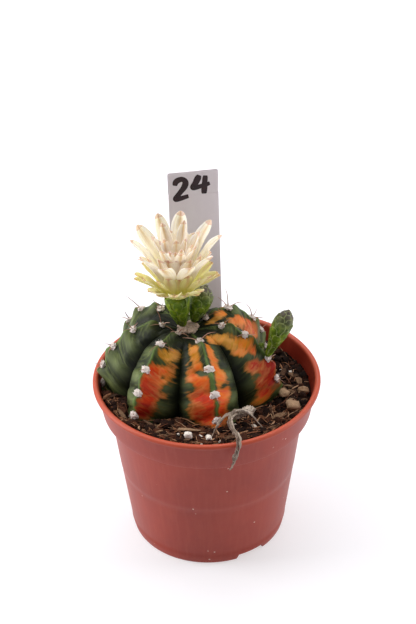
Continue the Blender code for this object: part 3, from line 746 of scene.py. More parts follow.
# the rib before an azimuth, and the share of the way from it to the next
def ribAt(azimuth):
    turned = azimuth * 180 / pi % 360
    rib = max((i for i, a in enumerate(body["ribs"]) if a <= turned), default=ribCount - 1)
    start = body["ribs"][rib]
    return rib, (turned - start) % 360 / ((body["ribs"][(rib + 1) % ribCount] - start) % 360)


# how far a place stands clear of the cactus at a height, less than nothing inside it
def clearOfBody(x, y, height):
    half = body["above"] if height > body["equator"] else body["below"]
    risen = (height - body["equator"]) / half
    polar = atan2(sqrt(max(1 - min(abs(risen), 1.0) ** 2, 0)), risen)
    point = skinPoint(*ribAt(atan2(y - body["y"], x - body["x"])), polar)
    away = hypot(x - body["x"], y - body["y"])
    return away - hypot(point.x - body["x"], point.y - body["y"])


def cadCopy(name):
    copied = frame["nodes"][name].copy()
    copied.data = copied.data.copy()
    copied.parent = None
    copied.hide_render = copied.hide_viewport = False
    bpy.context.scene.collection.objects.link(copied)
    selectOnly(copied)
    editAll()
    bpy.ops.mesh.remove_doubles(threshold=0.000002)
    endEdit()
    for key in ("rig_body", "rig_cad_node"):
        if key in copied:
            del copied[key]
    return copied


def makeSoil():
    gap, wall, edge, rings = soil["gap"], pot["wall"], pot["footEdge"], soil["rings"]
    step = ledgeHeight + wall
    bottom = pot["floor"] + wall + gap
    outer = soilWall - gap
    profile = [(almostAxis, soilLevel)]
    profile += [(outer * sqrt(ring / rings), soilLevel) for ring in range(1, rings)]
    profile += [(outer, soilLevel), (outer - 0.1 * mm, soilLevel - 0.6 * mm)]
    profile += [(wallInner(step + wall) - gap, step + wall), (shoulder - wall - gap, step + wall / 2)]
    profile += [(wallInner(bottom + edge) - gap, bottom + edge), (wallInner(bottom) - edge - gap, bottom)]
    ground = turnRings(profile + [(almostAxis, bottom)], soil["sides"])
    for vertex in ground.data.vertices:
        x, y, z = vertex.co
        if z > soilLevel - 0.3 * mm:
            inset = max(outer - hypot(x, y), 0)
            vertex.co.z = soilHeight(x, y) + clods(x, y) * min(1, inset / mm + 0.3)
    # the hollows for the cactus and the label are a little larger than those are
    plant, stick = cadCopy("cactus_body"), cadCopy("plant_label")
    middle = Vector((body["x"], body["y"], body["equator"]))
    for vertex in plant.data.vertices:
        away = vertex.co - middle
        vertex.co = middle + away * (1 + soil["hollow"] / max(away.length, soil["hollow"]))
    applyModifier(stick, "SOLIDIFY", thickness=2 * soil["hollow"], offset=1, use_rim=False)
    for cutter in (plant, stick):
        applyModifier(ground, "BOOLEAN", operation="DIFFERENCE", solver="EXACT", object=cutter)
        bpy.data.objects.remove(cutter)
    setMark(ground.data, "tone", 0.30)
    return ground


# a place on the soil, clear of the cactus, the wall and the label
def freeSpot(random, clearance, wallRoom):
    while True:
        azimuth = random.uniform(0, 2 * pi)
        reach = soilWall * sqrt(random.uniform(0.2, 1))
        x, y = reach * cos(azimuth), reach * sin(azimuth)
        height = soilHeight(x, y)
        inside = reach < wallInner(height) - wallRoom
        nearLabel = labelLow.x - mm < x < labelHigh.x + mm and abs(y - labelFoot) < 1.6 * mm
        if inside and not nearLabel and clearOfBody(x, y, height) > clearance:
            return x, y, height


# a place chosen by azimuth and share of the way from the cactus to the wall
def chosenSpot(azimuth, share, size):
    along = radians(azimuth)
    start = 5 * mm
    while start < 38 * mm and clearOfBody(start * cos(along), start * sin(along), potHeight - 6 * mm) < 0:
        start += 0.2 * mm
    reach = mix(start + size / 2, soilWall - size / 2, share)
    x, y = reach * cos(along), reach * sin(along)
    return x, y, soilHeight(x, y)


def roughCube(cuts, smoothness):
    bpy.ops.mesh.primitive_cube_add(size=1)
    editAll()
    bpy.ops.mesh.subdivide(number_cuts=cuts, smoothness=smoothness)
    endEdit()
    return takeMesh()


def makeCrumbs(random):
    crumb = roughCube(1, 1.0)
    made = []
    for index in range(soil["crumbs"]):
        size = mix(*soil["crumbSize"], random.random() ** 2.6)
        x, y, height = freeSpot(random, 0.45 * size, 0.6 * size)
        stretch = random.uniform(0.8, 1.35), random.uniform(0.7, 1.1), random.uniform(0.55, 0.9)
        turn = Matrix.Rotation(random.uniform(0, 6.28), 3, "Z")
        turn = turn @ Matrix.Rotation(random.uniform(-0.9, 0.9), 3, "X")
        seat = Vector((x, y, height + clods(x, y) + size * random.uniform(0.05, 0.34)))
        seed = Vector((index * 3.1, 0, 0))

        def lumpy(co):
            rough = 1 + 0.42 * noise.noise(co * 2.1 + seed)
            return seat + turn @ (scaled(co, stretch) * rough * size)

        # painted light and shade: crumbs at the left are made paler and those at the right darker
        paintedSideLight = 0.07 if x < -5 * mm else -0.09 if x > 8 * mm and y > -14 * mm else 0.0
        tone = paintedSideLight + 0.24 + 0.36 * random.random() ** 2 + (0.25 if random.random() < 0.07 else 0)
        made.append(copyShape(crumb, lumpy, tone))
    return joinPieces(made)


def makeFibres(random):
    rod = makeRod(5, 7)
    made = []
    for index in range(soil["fibres"]):
        length = mix(2.5, 12, random.random() ** 1.6) * mm
        x, y, height = freeSpot(random, 0.7 * mm, 1.2 * mm)
        if x > 8 * mm and y > -12 * mm and index % 3:
            continue
        heading = random.uniform(0, 2 * pi)
        if random.random() < 0.55:
            heading = atan2(y, x) + pi / 2 + random.uniform(-0.6, 0.6)
        curl = random.uniform(-1.1, 1.1)
        points, place, lift = [], Vector((x, y, 0)), random.uniform(0.35, 1.3) * mm
        tip = random.uniform(-0.2, 1.0) ** 3 * 2.2 * mm
        steps = 6
        for step in range(steps):
            reach = hypot(place.x, place.y)
            if reach > soilWall - 0.7 * mm:
                place *= (soilWall - 0.7 * mm) / reach
            out = clearOfBody(place.x, place.y, height)
            if out < 0.6 * mm:
                away = (place - Vector((body["x"], body["y"], 0))).normalized()
                place += away * (0.6 * mm - out)
            ground = soilHeight(place.x, place.y) + 0.5 * clods(place.x, place.y)
            points.append(Vector((place.x, place.y, ground + lift + tip * (step / steps) ** 2)))
            place += Vector((cos(heading), sin(heading), 0)) * length / steps
            heading += curl / steps + random.uniform(-0.25, 0.25)
        thick = mix(0.09, 0.30, random.random() ** 2) * mm
        tone = mix(0.15, 0.95, random.random() ** 1.5)
        made.append(bendRod(rod, points, lambda s: thick * (1.1 - 0.8 * abs(2 * s - 1) ** 2), 0.55, tone))
    return joinPieces(made)


# chips that are seen well: azimuth, share of the way from the cactus to the wall, length, width and
# thickness in mm, turn, tone
barkChosen = [
    (-33, 0.55, 5.2, 2.0, 1.0, 20, 0.62), (-14, 0.45, 6.0, 1.7, 1.0, 60, 0.7),
    (6, 0.75, 4.6, 2.2, 1.1, 100, 0.55), (-46, 0.8, 5.5, 1.6, 0.9, 35, 0.5),
    (252, 0.45, 15.0, 1.1, 0.7, -24, 0.72), (236, 0.5, 9.0, 1.2, 0.7, -38, 0.45),
    (284, 0.75, 5.0, 1.8, 0.9, 10, 0.4), (18, 0.5, 5.4, 2.4, 1.2, 70, 0.35),
    (214, 0.6, 6.5, 1.5, 0.8, 120, 0.55),
]


# flat splinters of bark and wood, with torn ends
def makeBark(random):
    chip = roughCube(2, 0.0)
    made = []
    for index in range(soil["bark"]):
        if index < len(barkChosen):
            azimuth, share, long, wide, thick, turned, tone = barkChosen[index]
            x, y, height = chosenSpot(azimuth, share, wide * mm)
            turned = radians(turned)
        else:
            long, wide, thick = random.uniform(2.2, 5.0), random.uniform(0.8, 1.8), random.uniform(0.4, 0.9)
            x, y, height = freeSpot(random, 1.3 * mm, 1.8 * mm)
            turned, tone = random.uniform(0, pi), random.uniform(0.1, 0.7)
        turn = Matrix.Rotation(turned, 3, "Z") @ Matrix.Rotation(random.uniform(-0.35, 0.35), 3, "Y")
        turn = turn @ Matrix.Rotation(random.uniform(-0.5, 0.5), 3, "X")
        seat = Vector((x, y, height + 0.9 * mm))
        seed = Vector((index * 5.7, 3, 0))

        def torn(co):
            rough = 1 + 0.35 * noise.noise(co * 3.3 + seed)
            narrow = 1 - 0.55 * (2 * abs(co.x)) ** 3
            bent = 0.18 * long * (co.x ** 2) * noise.noise(seed * 1.7) * 2
            local = scaled(co, (long * rough, wide * narrow * rough, thick * narrow))
            return seat + turn @ ((local + bent * up) * mm)

        made.append(copyShape(chip, torn, tone))
    return joinPieces(made)


def lumpStone(source, low, high, index, tone):
    middle, half = (low + high) / 2, (high - low) / 2

    def shape(co):
        direction = co.normalized()
        rough = 1 + 0.30 * noise.noise(direction * 1.3 + Vector((index * 7.0, 0, 0)))
        rough += 0.10 * noise.noise(direction * 4.1 + Vector((0, index * 3.0, 0)))
        square = max(abs(direction.x), abs(direction.y), abs(direction.z)) ** 0.45
        return middle + scaled(direction, half) * rough / square * 0.93

    return copyShape(source, shape, tone)


# azimuth, share of the way to the wall, size in mm, tone
perliteChosen = [(266, 0.62, 1.7, 0.9), (289, 0.80, 1.3, 0.7), (303, 0.55, 2.2, 0.6), (277, 0.86, 1.2, 0.8),
                 (262, 0.35, 1.0, 0.7)]


def makePerlite(random, source):
    made = []
    for index in range(soil["perlite"]):
        if index < len(perliteChosen):
            azimuth, share, size, tone = perliteChosen[index]
            size *= mm
            x, y, height = chosenSpot(azimuth, share, size)
        else:
            size, tone = random.uniform(0.5, 1.5) * mm, random.uniform(0.35, 0.85)
            x, y, height = freeSpot(random, 0.7 * size, 0.9 * size)
        seat = Vector((x, y, height + clods(x, y) + 0.45 * size))
        half = Vector((size, size * 0.85, size * 0.75)) / 2
        made.append(lumpStone(source, seat - half, seat + half, index + 20, tone))
    return joinPieces(made)


# peat and composted bark: nearly black, fibrous, dull and damp in places
def pottingStuff(name, stops, roughness, grainScale, bumpDepth):
    grain = {"Scale": grainScale, "Detail": 6.0, "Roughness": 0.7}
    return grainyStuff(name, stops, grain, 0.9, (0.7, bumpDepth), IOR=1.4, Roughness=roughness,
                       Specular_IOR_Level=0.25)


random = Random(soil["seed"])
peat = pottingStuff("pottingPeat", [(0.0, "0E0705"), (0.25, "1E100B"), (0.42, "2F1910"), (0.62, "4E2C1D"),
                                    (0.85, "82583E"), (1.0, "AC8466")], 0.92, 900.0, 0.0006)
coir = pottingStuff("coirFibre", [(0.0, "361B10"), (0.35, "70442E"), (0.65, "A47452"), (1.0, "C8A282")],
                    0.8, 1500.0, 0.0002)
bark = pottingStuff("compostedBark", [(0.0, "24150E"), (0.35, "50382A"), (0.65, "8C6E54"), (1.0, "B89C7E")],
                    0.85, 1100.0, 0.0004)
perlite = pottingStuff("expandedPerlite", [(0.0, "8F8172"), (0.35, "C4B6A6"), (0.7, "E4DACE"),
                                           (1.0, "F4EEE6")], 0.9, 1300.0, 0.0005)
pumice = pottingStuff("sharpGrit", [(0.0, "5A4230"), (0.35, "8C6C50"), (0.65, "B8987A"), (1.0, "D8C0A2")],
                      0.85, 1000.0, 0.0004)
finishPiece(makeSoil(), "soilBed", peat, ["soil"], 60)
print("soil bed is made")
finishPiece(makeCrumbs(random), "soilCrumbs", peat, (), 50)
finishPiece(makeFibres(random), "coirFibres", coir, (), 50)
finishPiece(makeBark(random), "barkChips", bark, (), 40)
bpy.ops.mesh.primitive_ico_sphere_add(subdivisions=3, radius=1)
stone = takeMesh()
finishPiece(makePerlite(random, stone), "perlite", perlite, (), 50)
for index, tone in enumerate((0.9, 0.8, 0.45, 0.60, 0.55)):
    name = f"grit_{index + 1}"
    finish, slotName = (perlite, "grit_pale") if index < 2 else (pumice, "grit_tan")
    shaped = lumpStone(stone, *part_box(name), index, tone)
    finishPiece(shaped, f"gritStone{index + 1}", finish, [name], 50)
print("fibres, bark and grit are strewn")

wool = {
    "width": 1.65 * mm, "depth": 1.0 * mm, "fuzz": 14, "fuzzLength": 1.25 * mm, "seed": 5,
    "spineRadius": 0.20 * mm, "spineLength": 1.25, "crownTufts": 13,
}
# spines that stand out, by rib and areole: where the tip lies from the cushion, in mm
spines = {
    (0, 0): [(0.5, -1.0, 4.5), (4.2, -0.5, 2.2)],
    (0, 1): [(-0.8, -2.0, 8.2), (5.0, -1.0, 2.6), (-3.0, 2.0, 2.5)],
    (0, 2): [(-2.0, -1.5, 6.4), (1.5, 0.5, 3.0), (3.5, -1.0, 0.5)],
    (0, 3): [(3.0, 1.0, 2.0), (2.0, 0.5, -2.5)],
    (2, 0): [(-2.5, 0.5, 3.0), (1.0, -1.0, 3.0), (-1.5, -2.0, 1.5)],
    (2, 1): [(-4.6, -1.0, 5.6), (-2.5, 0.0, 0.5), (2.0, -2.0, 1.0)],
    (2, 2): [(-1.5, -1.0, 4.2), (-3.2, 0.0, 1.2)],
    (3, 0): [(-1.5, -1.0, 6.5), (4.6, -2.2, -2.5), (-3.4, -2.0, 1.2), (2.5, -2.0, 2.2)],
    (3, 1): [(-2.2, -1.5, 4.0), (1.6, -1.0, 3.2), (-2.0, -2.8, -3.2), (-3.0, -1.0, 0.4)],
    (3, 2): [(-2.4, -0.8, 1.6), (-1.6, -1.6, -1.6)],
    (3, 3): [(-2.6, -0.6, 0.8), (-2.4, -1.2, -2.2)],
    (3, 4): [(-2.0, -0.5, 0.4), (-1.8, -1.0, -2.6)],
    (4, 0): [(1.5, -2.0, 3.0), (-2.2, -1.8, 1.8), (3.6, -1.8, -0.6)],
    (4, 1): [(4.0, -2.0, -1.2), (-3.2, -2.0, -1.2), (2.0, -1.5, 1.4)],
    (4, 2): [(-1.6, -1.4, 1.2), (1.6, -1.4, -1.0)],
    (4, 3): [(-0.8, -1.0, -3.4), (1.2, -1.2, -1.6), (0.8, -0.8, 1.2)],
    (4, 4): [(-1.5, -1.2, -2.0), (1.2, -1.0, -1.5)],
    (5, 0): [(-4.8, -1.8, 2.6), (4.8, -1.8, 4.4), (2.2, -2.2, -2.2)],
    (5, 1): [(-1.8, -1.8, 0.8), (1.6, -1.6, -1.4)],
    (5, 2): [(1.4, -1.6, -2.2), (-1.6, -1.4, -0.8)],
    (5, 3): [(-2.2, -1.2, -3.0), (1.4, -1.2, -1.0)],
    (6, 0): [(3.2, -1.6, 3.6), (-2.4, -1.6, 2.0)],
    (6, 1): [(3.0, -1.8, 1.2), (-2.6, -1.8, 0.6), (0.6, -2.0, -2.6)],
    (6, 2): [(2.2, -1.6, -1.4)],
    (6, 3): [(2.4, -1.2, -1.0), (1.6, -1.4, 1.8)],
}


# a place on a crest: the point, the way out of the skin, round the rib and down it
def crestFrame(rib, polar):
    here = skinPoint(rib, 0, polar, relief(rib, 0, polar))
    ahead = skinPoint(rib, 0, polar + 0.02) - skinPoint(rib, 0, polar - 0.02)
    _, around = ways(radians(body["ribs"][rib]))
    outward = ahead.cross(around).normalized()
    if outward.dot(here - Vector((body["x"], body["y"], body["equator"] - 10 * mm))) < 0:
        outward = -outward
    return here, outward, around, ahead.normalized()


def crownHeight(x, y):
    rib, share = ribAt(atan2(y - body["y"], x - body["x"]))
    distance = hypot(x - body["x"], y - body["y"])
    polar, point = 0.0, skinPoint(rib, share, 0.0)
    while polar < 1.5 and hypot(point.x - body["x"], point.y - body["y"]) < distance:
        polar += 0.01
        point = skinPoint(rib, share, polar)
    return point.z


def makeWool(random, source, hair):
    made, tufts = [], []
    for rib, places in areoles.items():
        for place in places:
            here, outward, around, down = crestFrame(rib, radians(place))
            young = 0.62 + 0.38 * ease(place / 30)
            tone = 0.85 - 0.5 * (1 - ease(place / 18))
            tufts.append((here + outward * 0.25 * mm, outward, around, down, young, tone))
    for index in range(wool["crownTufts"]):
        azimuth, reach = index * 2.4, 0.9 * mm * sqrt(index + 0.5)
        x, y = body["x"] + reach * cos(azimuth), body["y"] + reach * sin(azimuth)
        here = Vector((x, y, crownHeight(x, y) + 0.3 * mm))
        tufts.append((here, up, Vector((1, 0, 0)), Vector((0, 1, 0)), 0.9, 0.46))
    for number, (here, outward, around, down, size, tone) in enumerate(tufts):
        seed = Vector((number * 4.3, 1, 2))
        width, depth = wool["width"] * size, wool["depth"] * size

        def tuft(co):
            rough = 1 + 0.45 * noise.noise(co * 2.2 + seed) + 0.24 * noise.noise(co * 6.0 + seed)
            aside = around * co.x * width + down * co.y * width * 0.86
            return here + (aside + outward * co.z * depth) * rough

        made.append(copyShape(source, tuft, tone))
        for _ in range(wool["fuzz"]):
            angle, lean = random.uniform(0, 2 * pi), random.uniform(0.3, 1.5)
            side = around * cos(angle) + down * sin(angle)
            root = here + side * width * 0.55 * lean / 1.5 + outward * depth * 0.5
            long = wool["fuzzLength"] * random.uniform(0.5, 1.1) * size
            tip = root + (side * sin(lean) + outward * cos(lean)) * long
            bow = (root + tip) / 2 + outward * 0.25 * long
            made.append(bendRod(hair, [root, bow, tip], lambda s: (0.075 - 0.05 * s) * mm, 1.0, tone + 0.1))
    return joinPieces(made)


def makeSpines(random, thorn):
    made = []
    for rib, places in areoles.items():
        for index, place in enumerate(places):
            here, outward, around, down = crestFrame(rib, radians(place))
            root = here + outward * 0.2 * mm
            tips = [Vector(tip) * wool["spineLength"] * mm for tip in spines.get((rib, index), [])]
            while len(tips) < 3:
                angle = random.uniform(0, 2 * pi)
                spread = around * cos(angle) + down * sin(angle) * 0.7
                lean = spread * random.uniform(0.7, 1.0) + outward * random.uniform(0.2, 0.7)
                tips.append(lean * random.uniform(2, 4) * mm)
            for tip in tips:
                bow = root + tip * 0.5 + outward * tip.length * random.uniform(0.06, 0.16)
                thick = wool["spineRadius"] * random.uniform(0.85, 1.15)
                made.append(bendRod(thorn, [root, bow, root + tip], lambda s: thick * (1 - 0.78 * s ** 1.4),
                                    1.0, random.uniform(0.2, 0.9)))
    return joinPieces(made)


random = Random(wool["seed"])
# felted plant wool: pale, soft edged, with beige shadows
feltedWool = grainyStuff(
    "feltedWool", [(0.0, "7E5E40"), (0.3, "B29274"), (0.6, "CFBCB0"), (0.95, "E8DED9")],
    {"Scale": 1600.0, "Detail": 4.0, "Roughness": 0.7}, 0.8, (0.8, 0.0003),
    Roughness=0.95, Sheen_Weight=0.5, Sheen_Roughness=0.4, Specular_IOR_Level=0.2)
# horny spine: tan to reddish brown, slightly shiny
hornSpine = grainyStuff("hornSpine", [(0.0, "7A4636"), (0.5, "A4735E"), (1.0, "C69E88")],
                        {"Scale": 700.0, "Detail": 2.0}, 0.5, None, IOR=1.54, Roughness=0.45)
finishPiece(makeWool(random, stone, makeRod(4, 3)), "areoleWool", feltedWool, (), 60)
finishPiece(makeSpines(random, makeRod(6, 6)), "spines", hornSpine, (), 60)
print("wool and spines are made")

label = {"width": 19.0 * mm, "thickness": 0.8 * mm, "taper": 32 * mm, "tipWidth": 1.6 * mm,
         "corner": 0.7 * mm, "edge": 0.12 * mm, "inkWidth": 1.35 * mm, "inkRaise": 0.05 * mm}


# the label's lowest and highest middle, and the ways up it, across it and out of its face
def labelFrame():
    corners = [v.co.copy() for v in labelMesh.vertices]
    tops = [p for p in corners if p.z > labelHigh.z - 3 * mm]
    tips = [p for p in corners if p.z < labelLow.z + 2 * mm]
    left, right = min(tops, key=lambda p: p.x), max(tops, key=lambda p: p.x)
    low = (min(tips, key=lambda p: p.x) + max(tips, key=lambda p: p.x)) / 2
    rise = ((left + right) / 2 - low).normalized()
    high = low + rise * max((p - low).dot(rise) for p in corners)
    facing = (right - left).cross(rise).normalized()
    return low, high, rise, rise.cross(facing).normalized(), facing


def makeLabel():
    low, high, rise, across, facing = labelFrame()
    half = (high - low).length / 2
    bpy.ops.mesh.primitive_cube_add(size=1)
    stick = bpy.context.object
    bpy.ops.transform.resize(value=(label["width"], label["thickness"], 2 * half))
    bpy.ops.object.transform_apply(location=False, rotation=False, scale=True)
    editAll()
    shoulderZ = label["taper"] - half
    for share in (0, 0.35, 0.6, 0.85):
        bpy.ops.mesh.select_all(action="SELECT")
        bpy.ops.mesh.bisect(plane_co=(0, 0, mix(shoulderZ, half, share)), plane_no=(0, 0, 1))
    endEdit()
    corners = stick.data.vertices
    for vertex in corners:
        if vertex.co.z < 1e-6 - half:
            vertex.co.x *= label["tipWidth"] / label["width"]
    for edge in stick.data.edges:
        one, other = [corners[index].co for index in edge.vertices]
        edge.select = min(one.z, other.z) > half - 1e-6 and abs(one.x - other.x) < 1e-6
    selectOnly(stick)
    bpy.ops.object.mode_set(mode="EDIT")
    bpy.ops.mesh.select_mode(type="EDGE")
    bpy.ops.mesh.bevel(offset=label["corner"], segments=5, affect="EDGES")
    bpy.ops.mesh.select_mode(type="VERT")
    endEdit()
    softenEdges(stick, label["edge"], 2)
    middle = (low + high) / 2
    for vertex in stick.data.vertices:
        x, y, z = vertex.co
        vertex.co = middle + across * x - facing * y + rise * z
    return stick


# a number written by hand with a felt pen, as points over and up from the label's top corner
numberStrokes = [
    [(2.6, 5.2), (3.2, 3.6), (5.2, 3.0), (6.6, 4.2), (6.2, 6.2), (4.4, 8.4), (2.6, 10.6), (4.2, 10.8),
    (7.6, 10.2)],
    [(11.9, 2.4), (10.6, 5.0), (9.4, 7.0), (12.2, 7.0), (15.8, 6.3)],
    [(14.2, 2.9), (13.9, 5.4), (13.7, 7.6), (13.5, 10.2)],
]


def makeNumber():
    low, high, rise, across, facing = labelFrame()
    corner = high - across * label["width"] / 2 + facing * label["thickness"] / 2
    rod = makeRod(10, 46)
    made = []
    for stroke in numberStrokes:
        points = [corner + (across * x - rise * (y - 0.06 * x) + facing * 0.01) * mm for x, y in stroke]
        seed = Vector((*stroke[0], 0))

        def penWidth(s):
            waver = 0.28 * noise.noise(seed + Vector((s * 4, 0, 0)))
            return label["inkWidth"] * (0.86 + waver - 0.25 * (2 * s - 1) ** 8)

        flat = label["inkRaise"] / label["inkWidth"]
        made.append(bendRod(rod, points, penWidth, flat, side=facing))
    return joinPieces(made)


# extruded PVC label stock: smooth, grey and a little dusty
def labelPvc():
    made, tree, shader = newMaterial("labelPvc", IOR=1.53, Roughness=0.42)
    place = addNode(tree, "TexCoord", output="Object")
    smear = addNode(tree, "Mapping", Scale=(1.0, 1.0, 0.25), Vector=place)
    dust = addNode(tree, "TexNoise", Scale=90.0, Detail=5.0, Roughness=0.6, Vector=smear)
    colour = addNode(tree, "ValToRGB", stops=[(0.3, "E4DADF"), (0.6, "ECE4E7"), (0.8, "F2ECEE")], Fac=dust)
    rough = addNode(tree, "MapRange", To_Min=0.36, To_Max=0.52, Value=dust)
    scratches = addNode(tree, "TexNoise", Scale=900.0, Detail=2.0, Vector=smear)
    bump = addNode(tree, "Bump", Strength=0.08, Distance=0.0003, Height=scratches)
    setNode(tree, shader, Base_Color=colour, Roughness=rough, Normal=bump)
    return made


# felt-pen ink: near black with a plum cast, paler where it ran thin
def feltPenInk():
    made, tree, shader = newMaterial("feltPenInk", Roughness=0.5)
    place = addNode(tree, "TexCoord", output="Object")
    flow = addNode(tree, "TexNoise", Scale=500.0, Detail=3.0, Vector=place)
    colour = addNode(tree, "ValToRGB", stops=[(0.3, "1E0A12"), (0.6, "2C101A"), (0.8, "44202A")], Fac=flow)
    setNode(tree, shader, Base_Color=colour)
    return made


finishPiece(makeLabel(), "plantLabel", labelPvc(), ["plant_label"], 30)
finishPiece(makeNumber(), "labelNumber", feltPenInk(), (), 60)
print("label is made")

styleLow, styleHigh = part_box("style")
flower = {
    "mouth": Vector(((styleLow.x + styleHigh.x) / 2, (styleLow.y + styleHigh.y) / 2, styleLow.z)),
    "cup": 0.20, "thickness": 0.22 * mm, "ruffle": 0.42 * mm, "tipCurl": 1.3 * mm, "seed": 23,
    "stamens": 46, "anther": 0.42 * mm, "lobes": 7, "rows": 26,
}
# by whorl: slot, how many, tilt above level at base and tip, ring of the bases, lift, width, base
# width, widest share, how green, and how far the tepals reach in their nodes
whorls = {
    "tepal_inner": {"slot": "tepal_cream", "count": 7, "tilt": (82, 62), "ring": 2.1 * mm, "lift": 0.9 * mm,
                    "width": 4.3 * mm, "base": 1.1 * mm, "widest": 0.70, "green": 0.0, "trim": 0.98},
    "tepal_middle": {"slot": "tepal_cream", "count": 10, "tilt": (70, 42), "ring": 3.1 * mm, "lift": 0.6 * mm,
                     "width": 5.7 * mm, "base": 1.4 * mm, "widest": 0.74, "green": 0.12, "trim": 0.93},
    "tepal_outer": {"slot": "tepal_green", "count": 8, "tilt": (44, 26), "ring": 4.0 * mm, "lift": 0.5 * mm,
                    "width": 4.8 * mm, "base": 2.6 * mm, "widest": 0.68, "green": 0.7, "trim": 1.0},
}
# tepals that fill the flower between those: azimuth, length, tilt above level at base and tip
fillers = {
    "innerRow": ("tepal_inner", [(-64, 20.5, 82, 84), (-118, 20.0, 82, 83), (-12, 21.5, 82, 78),
                                 (168, 21.5, 82, 76),
                                 (-90, 19.0, 83, 86), (40, 21.0, 84, 78), (140, 21.0, 84, 78),
                                 (90, 20.0, 86, 82)]),
    "middleRow": ("tepal_middle", [(-94, 15.5, 74, 84), (-74, 18.5, 75, 82), (-112, 18.0, 75, 82),
                                   (-54, 19.0, 72, 76),
                                   (-131, 19.5, 71, 74), (-34, 20.5, 68, 68), (-150, 20.0, 67, 66),
                                   (-14, 21.0, 66, 56),
                                   (-166, 20.5, 66, 52), (75, 22.0, 76, 62), (108, 22.0, 76, 62),
                                   (52, 21.5, 74, 56)]),
    "outerRow": ("tepal_outer", [(-86, 11.5, 62, 76), (-66, 13.5, 60, 70), (-106, 13.0, 60, 70),
                                 (-45, 14.0, 56, 54),
                                 (-128, 14.0, 56, 52), (-30, 15.5, 54, 38), (-151, 15.0, 54, 36),
                                 (-92, 7.5, 46, 32), (-70, 8.5, 44, 28), (-112, 8.5, 44, 28),
                                 (-55, 10.0, 42, 22),
                                 (-128, 10.0, 42, 20), (-12, 15.0, 50, 34), (-168, 15.5, 50, 30),
                                 (20, 14.0, 52, 36),
                                 (160, 14.0, 52, 36)]),
}


# the middle line of a tepal, bent outwards from the mouth of the tube
def tepalLine(whorl, azimuth, length, tilts):
    outward, _ = ways(azimuth)
    rows = flower["rows"]
    line = [flower["mouth"] + outward * whorl["ring"] + up * whorl["lift"]]
    for row in range(rows):
        tilt = radians(mix(tilts[0], tilts[1], ease((row + 0.5) / rows)))
        line.append(line[-1] + (outward * cos(tilt) + up * sin(tilt)) * length / rows)
    return line


# a tepal in a node's place: its line is stretched to end where the node does
def nodeLine(name, whorl):
    mouth = flower["mouth"]
    places = [vertex.co.copy() for vertex in frame["nodes"][name].data.vertices]
    tip = max(places, key=lambda place: (place - mouth).length)
    azimuth = atan2(tip.y - mouth.y, tip.x - mouth.x)
    base = tepalLine(whorl, azimuth, 0, whorl["tilt"])[0]
    tip = base + (tip - base) * whorl["trim"]
    line = tepalLine(whorl, azimuth, (tip - base).length * 1.03, whorl["tilt"])
    miss = tip - line[-1]
    return azimuth, [point + miss * ease(index / flower["rows"]) for index, point in enumerate(line)]


def makeTepal(random, azimuth, line, whorl):
    outward, across = ways(azimuth)
    rows = flower["rows"]
    bpy.ops.mesh.primitive_grid_add(x_subdivisions=10, y_subdivisions=rows, size=2)
    strap = bpy.context.object
    twist, wave = random.uniform(-0.30, 0.30), random.uniform(0, 6.28)
    cup, curl = flower["cup"] * random.uniform(0.8, 1.3), flower["tipCurl"] * random.uniform(0.3, 1.0)
    grow = random.uniform(0.92, 1.08)
    shares = []
    for vertex in strap.data.vertices:
        side, share = vertex.co.x, (vertex.co.y + 1) / 2
        shares.append((side, share))
        index = min(int(share * rows + 0.5), rows)
        widen = mix(whorl["base"], whorl["width"], ease(share / whorl["widest"]))
        narrow = max(1 - max((share - whorl["widest"]) / (1.0 - whorl["widest"]), 0.0) ** 2.2, 0.0)
        half = widen / 2 * grow * (0.97 * narrow + 0.03) ** 0.60
        ahead = (line[min(index + 1, rows)] - line[max(index - 1, 0)]).normalized()
        inward = ahead.cross(across).normalized()
        if inward.dot(outward) > 0:
            inward = -inward
        turned = across * cos(twist * share) + inward * sin(twist * share)
        raised = inward * cos(twist * share) - across * sin(twist * share)
        bowl = cup * (side ** 2) * half * 2 - 0.10 * half * exp(-(side / 0.16) ** 2) * (1 - share)
        ruffle = flower["ruffle"] * noise.noise(Vector((side * 1.5, share * 4.0, wave))) * share
        ruffle += 0.45 * flower["ruffle"] * sin(share * 17 + wave) * abs(side) ** 2 * share
        stand = bowl + ruffle + curl * max(share - 0.75, 0) ** 2 * 8
        vertex.co = line[index] + turned * side * half + raised * stand
    for key, values in zip(("side", "share"), zip(*shares)):
        setMark(strap.data, key, values)
    setMark(strap.data, "green", whorl["green"] * random.uniform(0.8, 1.2))
    applyModifier(strap, "SOLIDIFY", thickness=flower["thickness"], offset=0, use_rim=True)
    softenEdges(strap, 0.06 * mm, 1)
    return strap


